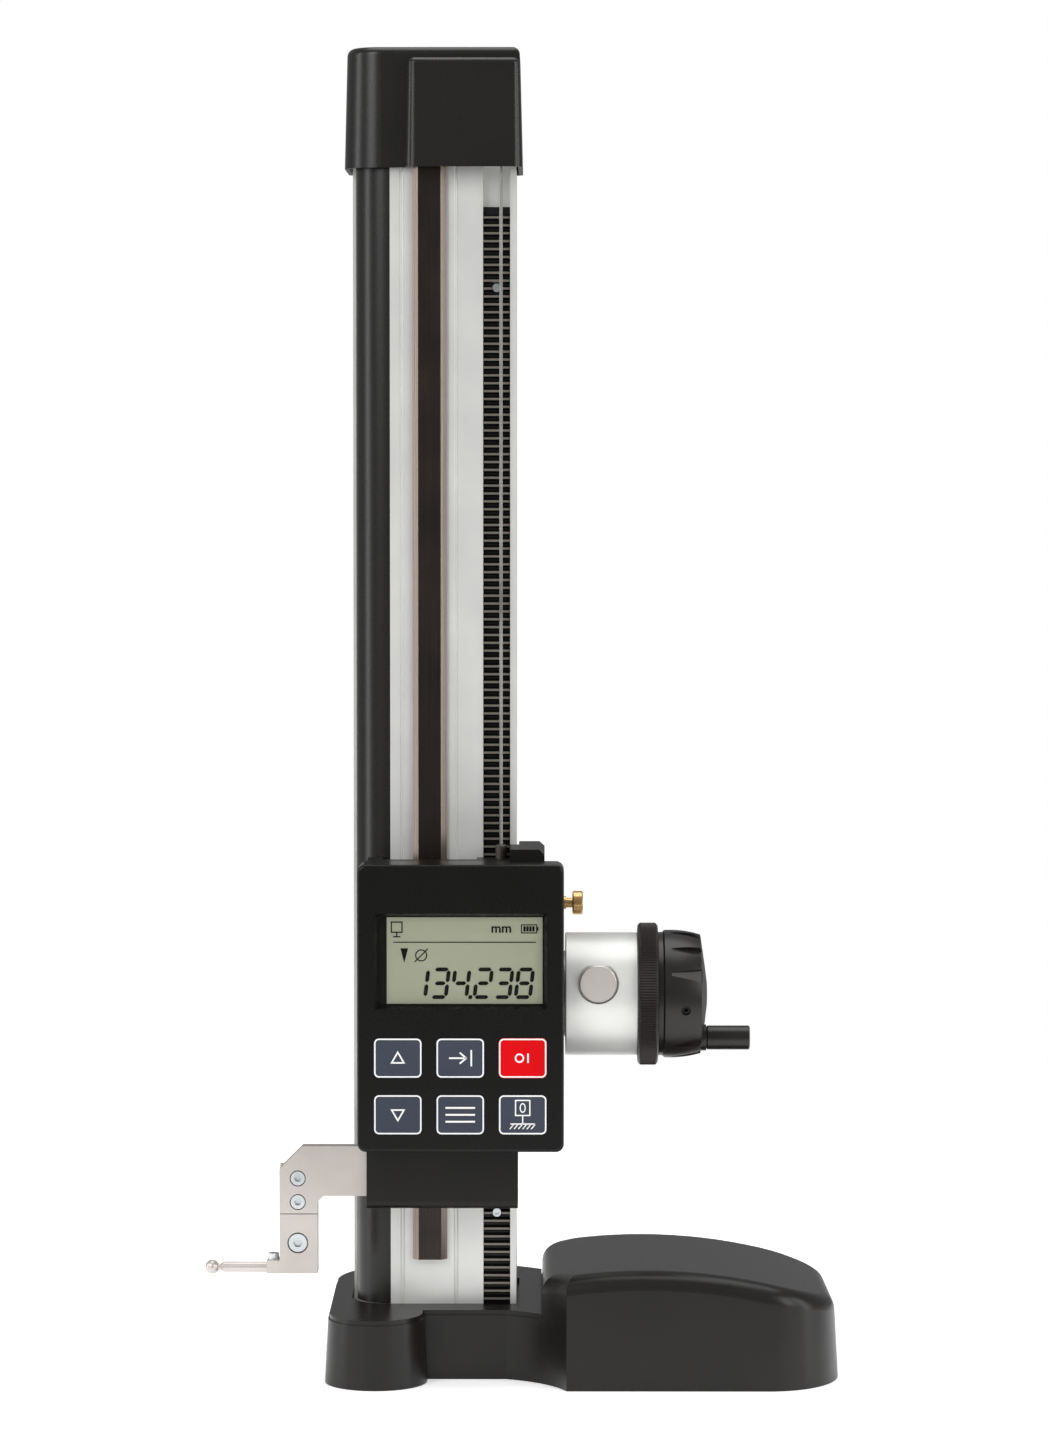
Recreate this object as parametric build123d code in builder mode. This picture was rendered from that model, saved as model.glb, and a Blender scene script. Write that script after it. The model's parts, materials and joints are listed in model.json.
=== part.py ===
# A digital height gauge: heavy base, hollow column with rack and rail, and a counterbalanced carriage.
# Millimetres. X to the right, Y to the rear, Z up. The origin is on the resting face, on the column's axis.
from math import acos, cos, hypot, pi, radians, sin, sqrt, tan
import os

from build123d import *

# Screw heads: a socket as a share of the head's radius and height, and room round a sunk head
SOCKET_SIZE = 0.52
SOCKET_DEPTH = 0.55
SCREW_HEAD_GAP = 0.3

# How far a cutter runs past what it cuts
CUT_SPARE = 1.0

# Base casting and the cover plate on it
BASE_LEFT = -54.0
BASE_FRONT = -86.0
BASE_REAR = 86.0
BASE_RIGHT = 202.0
BASE_SHELF_Z = 31.8
WALL_DRAFT = 3.0
TOE_CENTRE_X = -28.5
TOE_RADIUS = 25.5
RECESS_Y = -56.0
RECESS_END_X = 36.0
FLARE_X = 55.0
FLARE_Y = -68.5
LOBE_SHOULDER_X = 33.0
LOBE_SHOULDER_Y = 78.0
LOBE_REAR_X = 4.0
LOBE_REAR_Y = 84.0
LOBE_CORNER_X = -37.0
LOBE_CORNER_Y = 69.0
LOBE_LEFT_Y = 34.0
BLOCK_LEFT = 54.0
BLOCK_EDGE_X = 66.0
BLOCK_END_START_X = 166.0
BLOCK_END_DEPTH = 42.0
BLOCK_CREST_X = 108.0
BLOCK_CREST_Z = 58.5
BLOCK_LEFT_Z = 53.5
BLOCK_RIGHT_Z = 41.0
BLOCK_REAR_FALL = 0.05
BLOCK_TOP_FILLET = 9.0
BLOCK_REAR_CORNER = 22.0
BLOCK_SPARE = 8.0
CUT_SIZE = (200.0, 300.0)
PLATE_THICKNESS = 2.4
PLATE_INSET = 0.7
PLATE_EDGE_GAP = 0.3
COLUMN_CUTOUT_GAP = 1.2

# Column extrusion
COLUMN_WIDTH = 82.0
COLUMN_DEPTH = 70.0
COLUMN_WALL = 4.0
COLUMN_TOP_Z = 604.0
COLUMN_CORNER = 3.5
STRIP_EDGE_X = -22.0
STRIP_RADIUS = 17.5
STRIP_THICKNESS = 1.5
FACE_GROOVE_X = (-16.0, 10.8)
FACE_GROOVE_RADIUS = 1.1
SCREW_PORTS = ((-31.0, -8.0), (31.0, -17.0), (-31.0, 26.0), (31.0, 26.0))
PORT_RADIUS = 7.0
BOLT_RADIUS = 4.0
BOLT_HEAD_RADIUS = 6.5
BOLT_HEAD_HEIGHT = 8.0
BOLT_GRIP_IN_COLUMN = 22.0
BOLT_HOLE_GAP = 0.5
BOLT_HEAD_ROOM = 1.0
BOLT_HEAD_SINK = 3.0

# Gear rack and drive pinion
GEAR_MODULE = 1.25
PRESSURE_ANGLE = 20.0
PINION_TEETH = 18
PINION_WIDTH = 10.0
FLANK_PLAY = 0.1
RACK_X = 31.25
RACK_WIDTH = 13.1
RACK_SLOT_GAP = 0.2
RACK_SLOT_DEPTH = 6.0
RACK_TIP_BELOW_FACE = 0.5
RACK_TOP_Z = 583.7
RACK_SCREW_Z = (79.5, 543.5)
RACK_SCREW_HEAD = 2.1
RACK_SCREW_HEIGHT = 1.6
RACK_SCREW_SHANK = 1.25
RACK_SCREW_SEAT = 1.2

# Guide rail
RAIL_X = -2.2
RAIL_WIDTH = 17.0
RAIL_HEIGHT = 5.0
RAIL_BEVEL = 3.0
RAIL_FOOT_Z = 57.0

# Carriage
CARRIAGE_LEFT = -33.0
CARRIAGE_RIGHT = 42.0
CARRIAGE_FRONT = -66.0
CARRIAGE_FOOT_Z = 86.7
CARRIAGE_TOP_Z = 259.0
CARRIAGE_FACE_GAP = 1.5
CARRIAGE_EDGE = 4.0
EAR_SIDE_GAP = 1.4
EAR_RIGHT = 55.2
EAR_REAR = -13.0
EAR_FOOT_Z = 158.0
EAR_TOP_Z = 265.5
EAR_CHAMFER = 2.7
ROLLER_GAP = 0.1
ROLLER_FLAT_RADIUS = 8.4
ROLLER_CROWN = 2.5
ROLLER_FOOT_GAP = 0.2
ROLLER_END_GAP = 0.1
STUD_GRIP = 6.0
ROLLER_Z = (106.0, 243.0)
STUD_RADIUS = 2.5
STUD_FOOT_RADIUS = 3.5
CHANNEL_MARGIN = 1.2
CHANNEL_DEPTH = 11.0
POCKET_WIDTH = 12.0
POCKET_RADIUS = 13.6

CARRIAGE_SCREW_RADIUS = 1.5
CARRIAGE_SCREW_HEAD = 3.0
CARRIAGE_SCREW_HEIGHT = 2.5
ARM_SCREW_Z = (98.0, 111.0)
ARM_SCREW_X = -22.0
SLEEVE_SCREW_OFFSET = 14.0
SLEEVE_SCREW_RISE = 11.0
SLEEVE_SCREW_GRIP = 9.0
READ_HEAD_SIZE = (14.0, 40.0)
READ_HEAD_Z = 170.0
READ_HEAD_CORNER = 1.5
READ_HEAD_GAP = 0.4

# Running fits
SHAFT_FIT = 0.05

# Display housing
DISPLAY_LEFT = -36.6
DISPLAY_RIGHT = 64.7
DISPLAY_FOOT_Z = 118.6
DISPLAY_TOP_Z = 260.0
DISPLAY_FRONT = -89.0
DISPLAY_SEAM = -79.5
DISPLAY_WALL = 2.5
DISPLAY_CORNER = 4.0
DISPLAY_EDGE = 1.6
WINDOW_LEFT = -28.0
WINDOW_RIGHT = 56.4
WINDOW_FOOT_Z = 189.1
WINDOW_TOP_Z = 236.1
WINDOW_BEVEL = 1.4
WINDOW_THICKNESS = 1.2
PANEL_GAP = 0.5
PANEL_MARGIN = 2.5
BOARD_THICKNESS = 1.6
BOARD_MARGIN = 0.5
BOARD_SETBACK = 1.5
POST_X = (-29.0, 57.0)
POST_Z = (126.0, 252.0)
STANDOFF_RADIUS = 3.2
KEY_WIDTH = 23.6
KEY_HEIGHT = 19.6
KEY_CORNER = 2.5
KEY_COLUMNS = (-16.7, 13.9, 44.5)
KEY_ROWS = (165.1, 137.2)
KEY_GAP = 0.2
KEY_PROUD = 0.3
KEY_TRAVEL = 0.6
KEY_FLANGE = 0.8
KEY_REST_PLAY = 0.1
KEY_STEM = 1.2
DOME_RADIUS = 6.0
MAT_THICKNESS = 1.2
BATTERY_SIZE = (62.0, 8.0, 38.0)
BATTERY_CORNER = 3.0
BATTERY_X = 14.0
BATTERY_Z = 154.0
DISPLAY_SCREW_X = (-20.0, 34.0)
DISPLAY_SCREW_Z = (127.0, 250.0)
DISPLAY_SCREW_RADIUS = 2.0
DISPLAY_SCREW_GRIP = 8.0
DISPLAY_SCREW_HEAD = 4.0
DISPLAY_SCREW_HEIGHT = 3.0
SHELL_LIP = 2.0
SHELL_LIP_WALL = 1.2
SHELL_LIP_GAP = 0.1

# Handwheel drive
AXIS_Z = 191.6
SLEEVE_RADIUS = 30.5
SLEEVE_START = 65.5
SLEEVE_END = 101.5
SLEEVE_NECK_RADIUS = 21.3
SLEEVE_EDGE = 0.5
SPIGOT_RADIUS = 28.0
SPIGOT_END = 113.6
SLEEVE_BORE_RADIUS = 7.0
BUSH_LENGTH = 9.0
SHAFT_RADIUS = 4.0
SHAFT_START = 22.0
SHAFT_END = 128.0
FLANK_STEPS = 4
RING_RADIUS = 35.35
RING_WIDTH = 9.9
RING_EDGE = 1.4
RING_SIDE_GAP = 0.1
WHEEL_START = 114.0
WHEEL_SHOULDER = 132.8
WHEEL_CROWN = 136.1
WHEEL_BACK_RADIUS = 31.7
WHEEL_FRONT_RADIUS = 29.6
WHEEL_BELLY_RADIUS = 31.5
WHEEL_EDGE = 0.8
WHEEL_DOME_X = 135.0
WHEEL_HUB_RADIUS = 6.0
FLUTE_ANGLES = (-78.0, -50.0, -24.0, 46.0, 72.0, 100.0, 128.0, 156.0, 184.0, 212.0, 240.0, 266.0)
FLUTE_DEPTH = 2.6
FLUTE_HALF_WIDTH = 4.2
FLUTE_START = 118.0
FLUTE_START_WIDTH = 1.6
WHEEL_SCREW_X = 125.0
WHEEL_SCREW_RADIUS = 2.4
WHEEL_SCREW_TIP_RADIUS = 29.5
WHEEL_SCREW_DROP_ANGLE = 9.0
GRIP_OFFSET = 22.0
GRIP_SEAT_X = 135.8
GRIP_END_GAP = 0.2
GRIP_EDGE = 0.5
GRIP_PAD_MARGIN = 0.5
GRIP_PIN_SINK = 0.4
GRIP_END = 157.5
GRIP_RADIUS = 6.0
GRIP_PIN_RADIUS = 2.5
GRIP_PIN_HEAD_RADIUS = 4.0
GRIP_PIN_HEAD_HEIGHT = 2.4
GRIP_PIN_DEPTH = 9.0

# Mode button on the sleeve
BUTTON_X = 81.7
BUTTON_Z = 200.0
BUTTON_RADIUS = 9.1
BUTTON_HEIGHT = 4.2
BUTTON_PROUD = 2.6
BUTTON_EDGE = 0.4
BUTTON_TRAVEL = 2.0
BUTTON_RECESS_GAP = 1.0
BUTTON_STEM_RADIUS = 3.0
BUTTON_STEM_LENGTH = 8.0
BUTTON_FLOOR_GAP = 0.2

# Clamp
CLAMP_Y = -24.0
CLAMP_Z = 235.0
CLAMP_STEM_RADIUS = 2.5
CLAMP_COLLAR_RADIUS = 3.25
CLAMP_COLLAR_X = (64.0, 66.0)
CLAMP_HEAD_RADIUS = 5.95
CLAMP_HEAD_EDGE = 0.6
CLAMP_TIP_GAP = 0.1
CLAMP_HEAD_X = (69.2, 74.4)
SHOE_RADIUS = 4.0
SHOE_LENGTH = 4.0
SHOE_REST_GAP = 0.4

# Probe
ARM_LEFT = -76.5
ARM_RIGHT = -19.2
ARM_THICKNESS = 8.0
ARM_Y = -56.0
ARM_TOP_Z = 117.2
ARM_UNDER_Z = 92.4
ARM_LEG_RIGHT = -57.6
ARM_LEG_FOOT_Z = 83.6
ARM_CORNER = 11.5
ARM_INNER_CORNER = 3.0
HOLDER_TOP_Z = 83.2
HOLDER_FOOT_Z = 53.6
HOLDER_TOE_X = -82.8
HOLDER_TOE_Z = 60.0
HOLDER_REAR_Y = -48.0
TONGUE_TOP_Z = 107.0
BRACKET_SCREW_X = -67.4
BRACKET_SCREW_Z = (101.1, 89.3)
BRACKET_SCREW_HEAD = 3.5
BRACKET_SCREW_BORE = 4.0
BRACKET_SCREW_SHANK = 2.0
CLAMP_BOLT_Z = 68.9
CLAMP_BOLT_HEAD = 4.5
CLAMP_BOLT_BORE = 5.2
CLAMP_BOLT_SHANK = 2.5
CLAMP_BOLT_GRIP = 6.0
BRACKET_BORE_DEPTH = 4.2
STYLUS_Z = 55.9
STYLUS_RADIUS = 2.6
STYLUS_TIP_X = -106.0
STYLUS_TAPER = 1.2
BALL_X = -110.4
BALL_RADIUS = 3.5
BALL_NECK_RADIUS = 1.6
STYLUS_STUD_RADIUS = 1.5
STYLUS_STUD_LENGTH = 11.0
STYLUS_SCREW_X = -79.8
STYLUS_SCREW_HEAD = 2.7
STYLUS_SCREW_HEIGHT = 3.0

# Cap, pulley and counterweight
CAP_FOOT_Z = 603.0
CAP_TOP_Z = 663.0
CAP_LEFT = -44.9
CAP_RIGHT = 44.2
CAP_FRONT = -39.0
CAP_REAR = 39.5
CAP_WALL = 2.2
CAP_DRAFT = 1.4
CAP_TOP_FILLET = 4.0
CAP_CORNER = 8.0
CAP_FRONT_LEFT_CORNER = 19.0
HOOD_LEFT = -14.0
HOOD_FRONT = -49.0
HOOD_TOP_DROP = 6.0
HOOD_CORNER = 5.0
HOOD_TOP_FILLET = 3.0
CAP_SCREW_X = (-18.0, 18.0)
CAP_SCREW_Z = 615.0
CAP_SCREW_RADIUS = 2.0
CAP_SCREW_HEAD = 3.8
CAP_SCREW_HEIGHT = 2.4
CAP_SCREW_SINK = 1.0
TOP_PLATE_THICKNESS = 4.0
TOP_LIP_HEIGHT = 14.0
TOP_LIP_WIDTH = 48.0
TOP_SCREW_GRIP = 12.0
TOP_SCREW_HEAD_HEIGHT = 5.0
WIRE_RADIUS = 0.9
WIRE_X = 33.5
WIRE_Y = -41.0
WIRE_REAR_X = 3.1
WIRE_REAR_Y = -3.8
WIRE_HOLE_RADIUS = 4.0
WIRE_GAP = 0.2
PULLEY_Z = 634.0
PULLEY_FLANGE = 1.4
PULLEY_WIDTH = 6.0
AXLE_RADIUS = 3.0
CHEEK_THICKNESS = 2.0
CHEEK_GAP = 0.4
CHEEK_FOOT = 6.0
CHEEK_WIDTH = 14.0
ANCHOR_RADIUS = 2.8
ANCHOR_HEIGHT = 7.0
WEIGHT_SIZE = (38.0, 28.0, 160.0)
WEIGHT_TOP_Z = 540.0
WEIGHT_CORNER = 3.0
EYE_HEIGHT = 8.0
EYE_RADIUS = 3.5

# Sizes that follow from the ones above
PLATE_TOP_Z = BASE_SHELF_Z + PLATE_THICKNESS
COLUMN_FACE = -COLUMN_DEPTH / 2
COLUMN_SIDE = COLUMN_WIDTH / 2
GEAR_PITCH = pi * GEAR_MODULE
ADDENDUM = GEAR_MODULE
DEDENDUM = 1.25 * GEAR_MODULE
PITCH_RADIUS = GEAR_MODULE * PINION_TEETH / 2
RACK_TIP_Y = COLUMN_FACE + RACK_TIP_BELOW_FACE
RACK_PITCH_Y = RACK_TIP_Y + ADDENDUM
RACK_ROOT_Y = RACK_PITCH_Y + DEDENDUM
RACK_BACK_Y = COLUMN_FACE + RACK_SLOT_DEPTH
AXIS_Y = RACK_PITCH_Y - PITCH_RADIUS
RAIL_FACE_Y = COLUMN_FACE - RAIL_HEIGHT
CARRIAGE_BACK = COLUMN_FACE - CARRIAGE_FACE_GAP
EAR_LEFT = COLUMN_SIDE + EAR_SIDE_GAP
CHANNEL_FLOOR = CARRIAGE_BACK - CHANNEL_DEPTH
ROLLER_OFFSET = RAIL_WIDTH / 2 - RAIL_BEVEL + ROLLER_FLAT_RADIUS + ROLLER_GAP
CHANNEL_HALF = ROLLER_OFFSET + ROLLER_FLAT_RADIUS + CHANNEL_MARGIN
STUD_X = (RAIL_X - ROLLER_OFFSET, RAIL_X + ROLLER_OFFSET)
ROLLER_CROWN_Y = RAIL_FACE_Y - ROLLER_CROWN
ROLLER_FOOT_Y = RAIL_FACE_Y + RAIL_BEVEL - ROLLER_FOOT_GAP
PULLEY_X = (WIRE_X + WIRE_REAR_X) / 2
PULLEY_Y = (WIRE_Y + WIRE_REAR_Y) / 2
WRAP_RADIUS = hypot(WIRE_X - WIRE_REAR_X, WIRE_Y - WIRE_REAR_Y) / 2
TOP_PLATE_TOP_Z = COLUMN_TOP_Z + TOP_PLATE_THICKNESS
KEY_FACE_Y = DISPLAY_FRONT - KEY_PROUD
BUTTON_FACE_Y = AXIS_Y - sqrt(SLEEVE_RADIUS**2 - (BUTTON_Z - AXIS_Z) ** 2) - BUTTON_PROUD
KEY_SEAT_Y = DISPLAY_FRONT + DISPLAY_WALL + KEY_REST_PLAY

BOLT_SEAT_Z = BOLT_HEAD_HEIGHT + BOLT_HEAD_SINK
TOP_SCREW_PORTS = [port for port in SCREW_PORTS if port != SCREW_PORTS[1]]
LOW = (Align.CENTER, Align.CENTER, Align.MIN)
DIAGONAL = Axis((0, 0, 0), (1, 1, 0))

os.makedirs("parts", exist_ok=True)


def keep(piece, name):
    """Labels a finished piece and writes it."""
    piece.part.label = name
    export_step(piece.part, f"parts/{name}.step")
    return piece.part


def upright(x, y, z):
    """A plane at a point, whose own x, y run along X and Z and whose normal looks to the front."""
    return Plane(origin=(x, y, z), x_dir=(1, 0, 0), z_dir=(0, -1, 0))


def along_x(x, y=AXIS_Y, z=AXIS_Z):
    """A plane across the X direction: its own x runs along Y and its own y along Z."""
    return Plane(origin=(x, y, z), x_dir=(0, 1, 0), z_dir=(1, 0, 0))


def socket_screw(plane, head_radius, head_height, shank_radius, shank_length):
    """A socket head screw whose head stands on the plane, with the shank behind it."""
    with BuildPart() as screw:
        with BuildSketch(plane):
            Circle(head_radius)
        extrude(amount=head_height)
        with BuildSketch(plane):
            Circle(shank_radius)
        extrude(amount=-shank_length)
        with BuildSketch(plane.offset(head_height)):
            RegularPolygon(head_radius * SOCKET_SIZE, 6)
        extrude(amount=-head_height * SOCKET_DEPTH, mode=Mode.SUBTRACT)
    return screw.part


def column_shape(grow):
    """The column's outer section with its strip on, grown all round by a gap."""
    with BuildSketch() as section:
        Rectangle(COLUMN_WIDTH + 2 * grow, COLUMN_DEPTH + 2 * grow)
        front_left = section.vertices().sort_by(DIAGONAL)[0]
        others = [vertex for vertex in section.vertices() if vertex != front_left]
        fillet(front_left, STRIP_RADIUS + grow)
        fillet(others, COLUMN_CORNER + grow)
    return section.sketch


def base_outline(height, inset):
    """The foot's outline at a height, drawn in by its wall's draft and by an inset."""
    d = inset + height * tan(radians(WALL_DRAFT))
    toe_y = BASE_FRONT + TOE_RADIUS
    toe_left = (BASE_LEFT + d, toe_y)
    toe_right = (TOE_CENTRE_X + TOE_RADIUS - d, toe_y)
    recess_left = (toe_right[0], RECESS_Y + d)
    recess_right = (RECESS_END_X, RECESS_Y + d)
    flare = (FLARE_X + d / 2, FLARE_Y + d / 2)
    front_left = (BLOCK_EDGE_X, BASE_FRONT + d)
    front_right = (BLOCK_END_START_X, BASE_FRONT + d)
    end_front = (BASE_RIGHT - d, BASE_FRONT + BLOCK_END_DEPTH)
    end_rear = (BASE_RIGHT - d, BASE_REAR - BLOCK_END_DEPTH)
    rear_right = (BLOCK_END_START_X, BASE_REAR - d)
    rear_left = (BLOCK_LEFT + BLOCK_REAR_CORNER, BASE_REAR - d)
    notch = (BLOCK_LEFT, BASE_REAR - BLOCK_REAR_CORNER - d / 2)
    round_off = BLOCK_REAR_CORNER * (1 - sqrt(0.5))
    lobe_rear = (LOBE_REAR_X, LOBE_REAR_Y - d)
    lobe_left = (BASE_LEFT + d, LOBE_LEFT_Y)
    end_radii = (BASE_RIGHT - BLOCK_END_START_X - d, BLOCK_END_DEPTH - d)
    with BuildSketch(Plane.XY.offset(height)) as outline:
        with BuildLine():
            ThreePointArc(toe_left, (TOE_CENTRE_X, BASE_FRONT + d), toe_right)
            Polyline(toe_right, recess_left, recess_right)
            ThreePointArc(recess_right, flare, front_left)
            Line(front_left, front_right)
            EllipticalCenterArc((front_right[0], end_front[1]), *end_radii, start_angle=270, arc_size=90)
            Line(end_front, end_rear)
            EllipticalCenterArc((rear_right[0], end_rear[1]), *end_radii, start_angle=0, arc_size=90)
            Line(rear_right, rear_left)
            ThreePointArc(
                rear_left, (BLOCK_LEFT + round_off + d / 2, BASE_REAR - round_off - d / 2), notch
            )
            ThreePointArc(notch, (LOBE_SHOULDER_X, LOBE_SHOULDER_Y - d), lobe_rear)
            ThreePointArc(lobe_rear, (LOBE_CORNER_X + d / 2, LOBE_CORNER_Y - d / 2), lobe_left)
            Line(lobe_left, toe_left)
        make_face()
    return outline.sketch


def base_body(height, inset=0.0):
    """The foot with its drafted walls, from the resting face up to a height."""
    with BuildPart() as body:
        add(base_outline(0.0, inset))
        add(base_outline(height, inset))
        loft(ruled=True)
    return body.part


# Base casting
with BuildPart() as base_casting:
    add(base_body(BLOCK_CREST_Z + BLOCK_SPARE))
    with BuildSketch(Plane.XY.offset(BASE_SHELF_Z)):
        with Locations((BLOCK_LEFT, 0)):
            Rectangle(*CUT_SIZE, align=(Align.MAX, Align.CENTER))
    extrude(amount=BLOCK_CREST_Z, mode=Mode.SUBTRACT)
    with BuildSketch(Plane.XZ.offset(-BASE_FRONT)):
        with BuildLine():
            ThreePointArc(
                (BLOCK_LEFT - CUT_SPARE, BLOCK_LEFT_Z),
                (BLOCK_CREST_X, BLOCK_CREST_Z),
                (BASE_RIGHT + CUT_SPARE, BLOCK_RIGHT_Z),
            )
            Polyline(
                (BASE_RIGHT + CUT_SPARE, BLOCK_RIGHT_Z),
                (BASE_RIGHT + CUT_SPARE, BLOCK_CREST_Z + 3 * BLOCK_SPARE),
                (BLOCK_LEFT - CUT_SPARE, BLOCK_CREST_Z + 3 * BLOCK_SPARE),
                (BLOCK_LEFT - CUT_SPARE, BLOCK_LEFT_Z),
            )
        make_face()
    block_run = BASE_REAR - BASE_FRONT + 2 * CUT_SPARE
    extrude(amount=block_run, dir=(0, 1, -BLOCK_REAR_FALL), mode=Mode.SUBTRACT)
    block_top = base_casting.faces().sort_by(Axis.Z)[-1]
    top_edges = block_top.edges().filter_by(lambda edge: edge.center().X > BLOCK_LEFT + CUT_SPARE)
    fillet(top_edges, BLOCK_TOP_FILLET)
    for port in SCREW_PORTS:
        with Locations((port[0], port[1], 0)):
            Cylinder(BOLT_RADIUS + BOLT_HOLE_GAP, BASE_SHELF_Z, align=LOW, mode=Mode.SUBTRACT)
            Cylinder(BOLT_HEAD_RADIUS + BOLT_HEAD_ROOM, BOLT_SEAT_Z, align=LOW, mode=Mode.SUBTRACT)
keep(base_casting, "base_casting")

# Cover plate round the column's foot
with BuildPart() as base_top_plate:
    add(base_body(PLATE_TOP_Z, PLATE_INSET))
    with BuildSketch(Plane.XY.offset(BASE_SHELF_Z)):
        with Locations((BLOCK_LEFT - PLATE_EDGE_GAP, 0)):
            Rectangle(*CUT_SIZE, align=(Align.MAX, Align.CENTER))
    extrude(amount=PLATE_THICKNESS, mode=Mode.INTERSECT)
    with BuildSketch(Plane.XY.offset(BASE_SHELF_Z)):
        add(column_shape(COLUMN_CUTOUT_GAP))
    extrude(amount=PLATE_THICKNESS, mode=Mode.SUBTRACT)
keep(base_top_plate, "base_top_plate")

# Bolts from below into the column's screw ports
with BuildPart() as column_bolts:
    for port in SCREW_PORTS:
        seat = Plane(origin=(port[0], port[1], BOLT_SEAT_Z), x_dir=(1, 0, 0), z_dir=(0, 0, -1))
        grip = BASE_SHELF_Z - BOLT_SEAT_Z + BOLT_GRIP_IN_COLUMN
        add(socket_screw(seat, BOLT_HEAD_RADIUS, BOLT_HEAD_HEIGHT, BOLT_RADIUS, grip))
keep(column_bolts, "column_bolts")

# Column extrusion: hollow, with a rack slot, face grooves, screw ports and a recess for the side strip
strip_centre = (STRIP_EDGE_X, COLUMN_FACE + STRIP_RADIUS)
recess_size = (COLUMN_SIDE + STRIP_EDGE_X, STRIP_RADIUS)
strip_seat = STRIP_RADIUS - STRIP_THICKNESS
slot_width = RACK_WIDTH + 2 * RACK_SLOT_GAP
with BuildSketch() as cavity:
    Rectangle(COLUMN_WIDTH - 2 * COLUMN_WALL, COLUMN_DEPTH - 2 * COLUMN_WALL)
    with Locations((RACK_X, COLUMN_FACE)):
        Rectangle(
            slot_width + 2 * COLUMN_WALL, 2 * (RACK_SLOT_DEPTH + COLUMN_WALL), mode=Mode.SUBTRACT
        )
    with Locations((-COLUMN_SIDE, COLUMN_FACE)):
        Rectangle(*recess_size, align=(Align.MIN, Align.MIN), mode=Mode.SUBTRACT)
    with Locations(strip_centre):
        Circle(strip_seat - COLUMN_WALL)
    with Locations(*SCREW_PORTS):
        Circle(PORT_RADIUS, mode=Mode.SUBTRACT)
with BuildPart() as column_extrusion:
    with BuildSketch(Plane.XY.offset(BASE_SHELF_Z)):
        add(column_shape(0.0))
        with Locations((-COLUMN_SIDE, COLUMN_FACE)):
            Rectangle(*recess_size, align=(Align.MIN, Align.MIN), mode=Mode.SUBTRACT)
        with Locations(strip_centre):
            Circle(strip_seat)
        with Locations((RACK_X, COLUMN_FACE)):
            Rectangle(slot_width, 2 * RACK_SLOT_DEPTH, mode=Mode.SUBTRACT)
        with Locations(*[(x, COLUMN_FACE) for x in FACE_GROOVE_X]):
            Circle(FACE_GROOVE_RADIUS, mode=Mode.SUBTRACT)
        add(cavity.sketch, mode=Mode.SUBTRACT)
        with Locations(*SCREW_PORTS):
            Circle(BOLT_RADIUS, mode=Mode.SUBTRACT)
    extrude(amount=COLUMN_TOP_Z - BASE_SHELF_Z)
    for screw_z in RACK_SCREW_Z:
        with BuildSketch(upright(RACK_X, RACK_BACK_Y, screw_z)):
            Circle(RACK_SCREW_SHANK)
        extrude(amount=-COLUMN_WALL, mode=Mode.SUBTRACT)
keep(column_extrusion, "column_extrusion")

# Side strip round the column's front left corner
with BuildPart() as column_side_strip:
    with BuildSketch(Plane.XY.offset(PLATE_TOP_Z)):
        with Locations(strip_centre):
            Circle(STRIP_RADIUS)
            Circle(strip_seat, mode=Mode.SUBTRACT)
        with Locations((-COLUMN_SIDE, COLUMN_FACE)):
            Rectangle(*recess_size, align=(Align.MIN, Align.MIN), mode=Mode.INTERSECT)
    extrude(amount=COLUMN_TOP_Z - PLATE_TOP_Z)
keep(column_side_strip, "column_side_strip")

# Guide rail with bevelled flanks
half_rail = RAIL_WIDTH / 2
with BuildPart() as guide_rail:
    with BuildSketch(Plane.XY.offset(RAIL_FOOT_Z)):
        with BuildLine():
            Polyline(
                (RAIL_X - half_rail, COLUMN_FACE),
                (RAIL_X - half_rail, RAIL_FACE_Y + RAIL_BEVEL),
                (RAIL_X - half_rail + RAIL_BEVEL, RAIL_FACE_Y),
                (RAIL_X + half_rail - RAIL_BEVEL, RAIL_FACE_Y),
                (RAIL_X + half_rail, RAIL_FACE_Y + RAIL_BEVEL),
                (RAIL_X + half_rail, COLUMN_FACE),
                close=True,
            )
        make_face()
    extrude(amount=COLUMN_TOP_Z - RAIL_FOOT_Z)
keep(guide_rail, "guide_rail")

# Gear rack: a tooth space stands level with the pinion's axis
slope = tan(radians(PRESSURE_ANGLE))
tip_half = GEAR_PITCH / 4 - ADDENDUM * slope
root_half = GEAR_PITCH / 4 + DEDENDUM * slope
first_tooth = int((BASE_SHELF_Z + root_half - AXIS_Z) / GEAR_PITCH)
last_tooth = int((RACK_TOP_Z - root_half - AXIS_Z) / GEAR_PITCH - 0.5)
rack_outline = [(RACK_ROOT_Y, BASE_SHELF_Z)]
for tooth in range(first_tooth, last_tooth + 1):
    middle = AXIS_Z + (tooth + 0.5) * GEAR_PITCH
    rack_outline.append((RACK_ROOT_Y, middle - root_half))
    rack_outline.append((RACK_TIP_Y, middle - tip_half))
    rack_outline.append((RACK_TIP_Y, middle + tip_half))
    rack_outline.append((RACK_ROOT_Y, middle + root_half))
rack_outline.append((RACK_ROOT_Y, RACK_TOP_Z))
rack_outline.append((RACK_BACK_Y, RACK_TOP_Z))
rack_outline.append((RACK_BACK_Y, BASE_SHELF_Z))
screw_seat_y = RACK_BACK_Y - RACK_SCREW_SEAT
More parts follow.
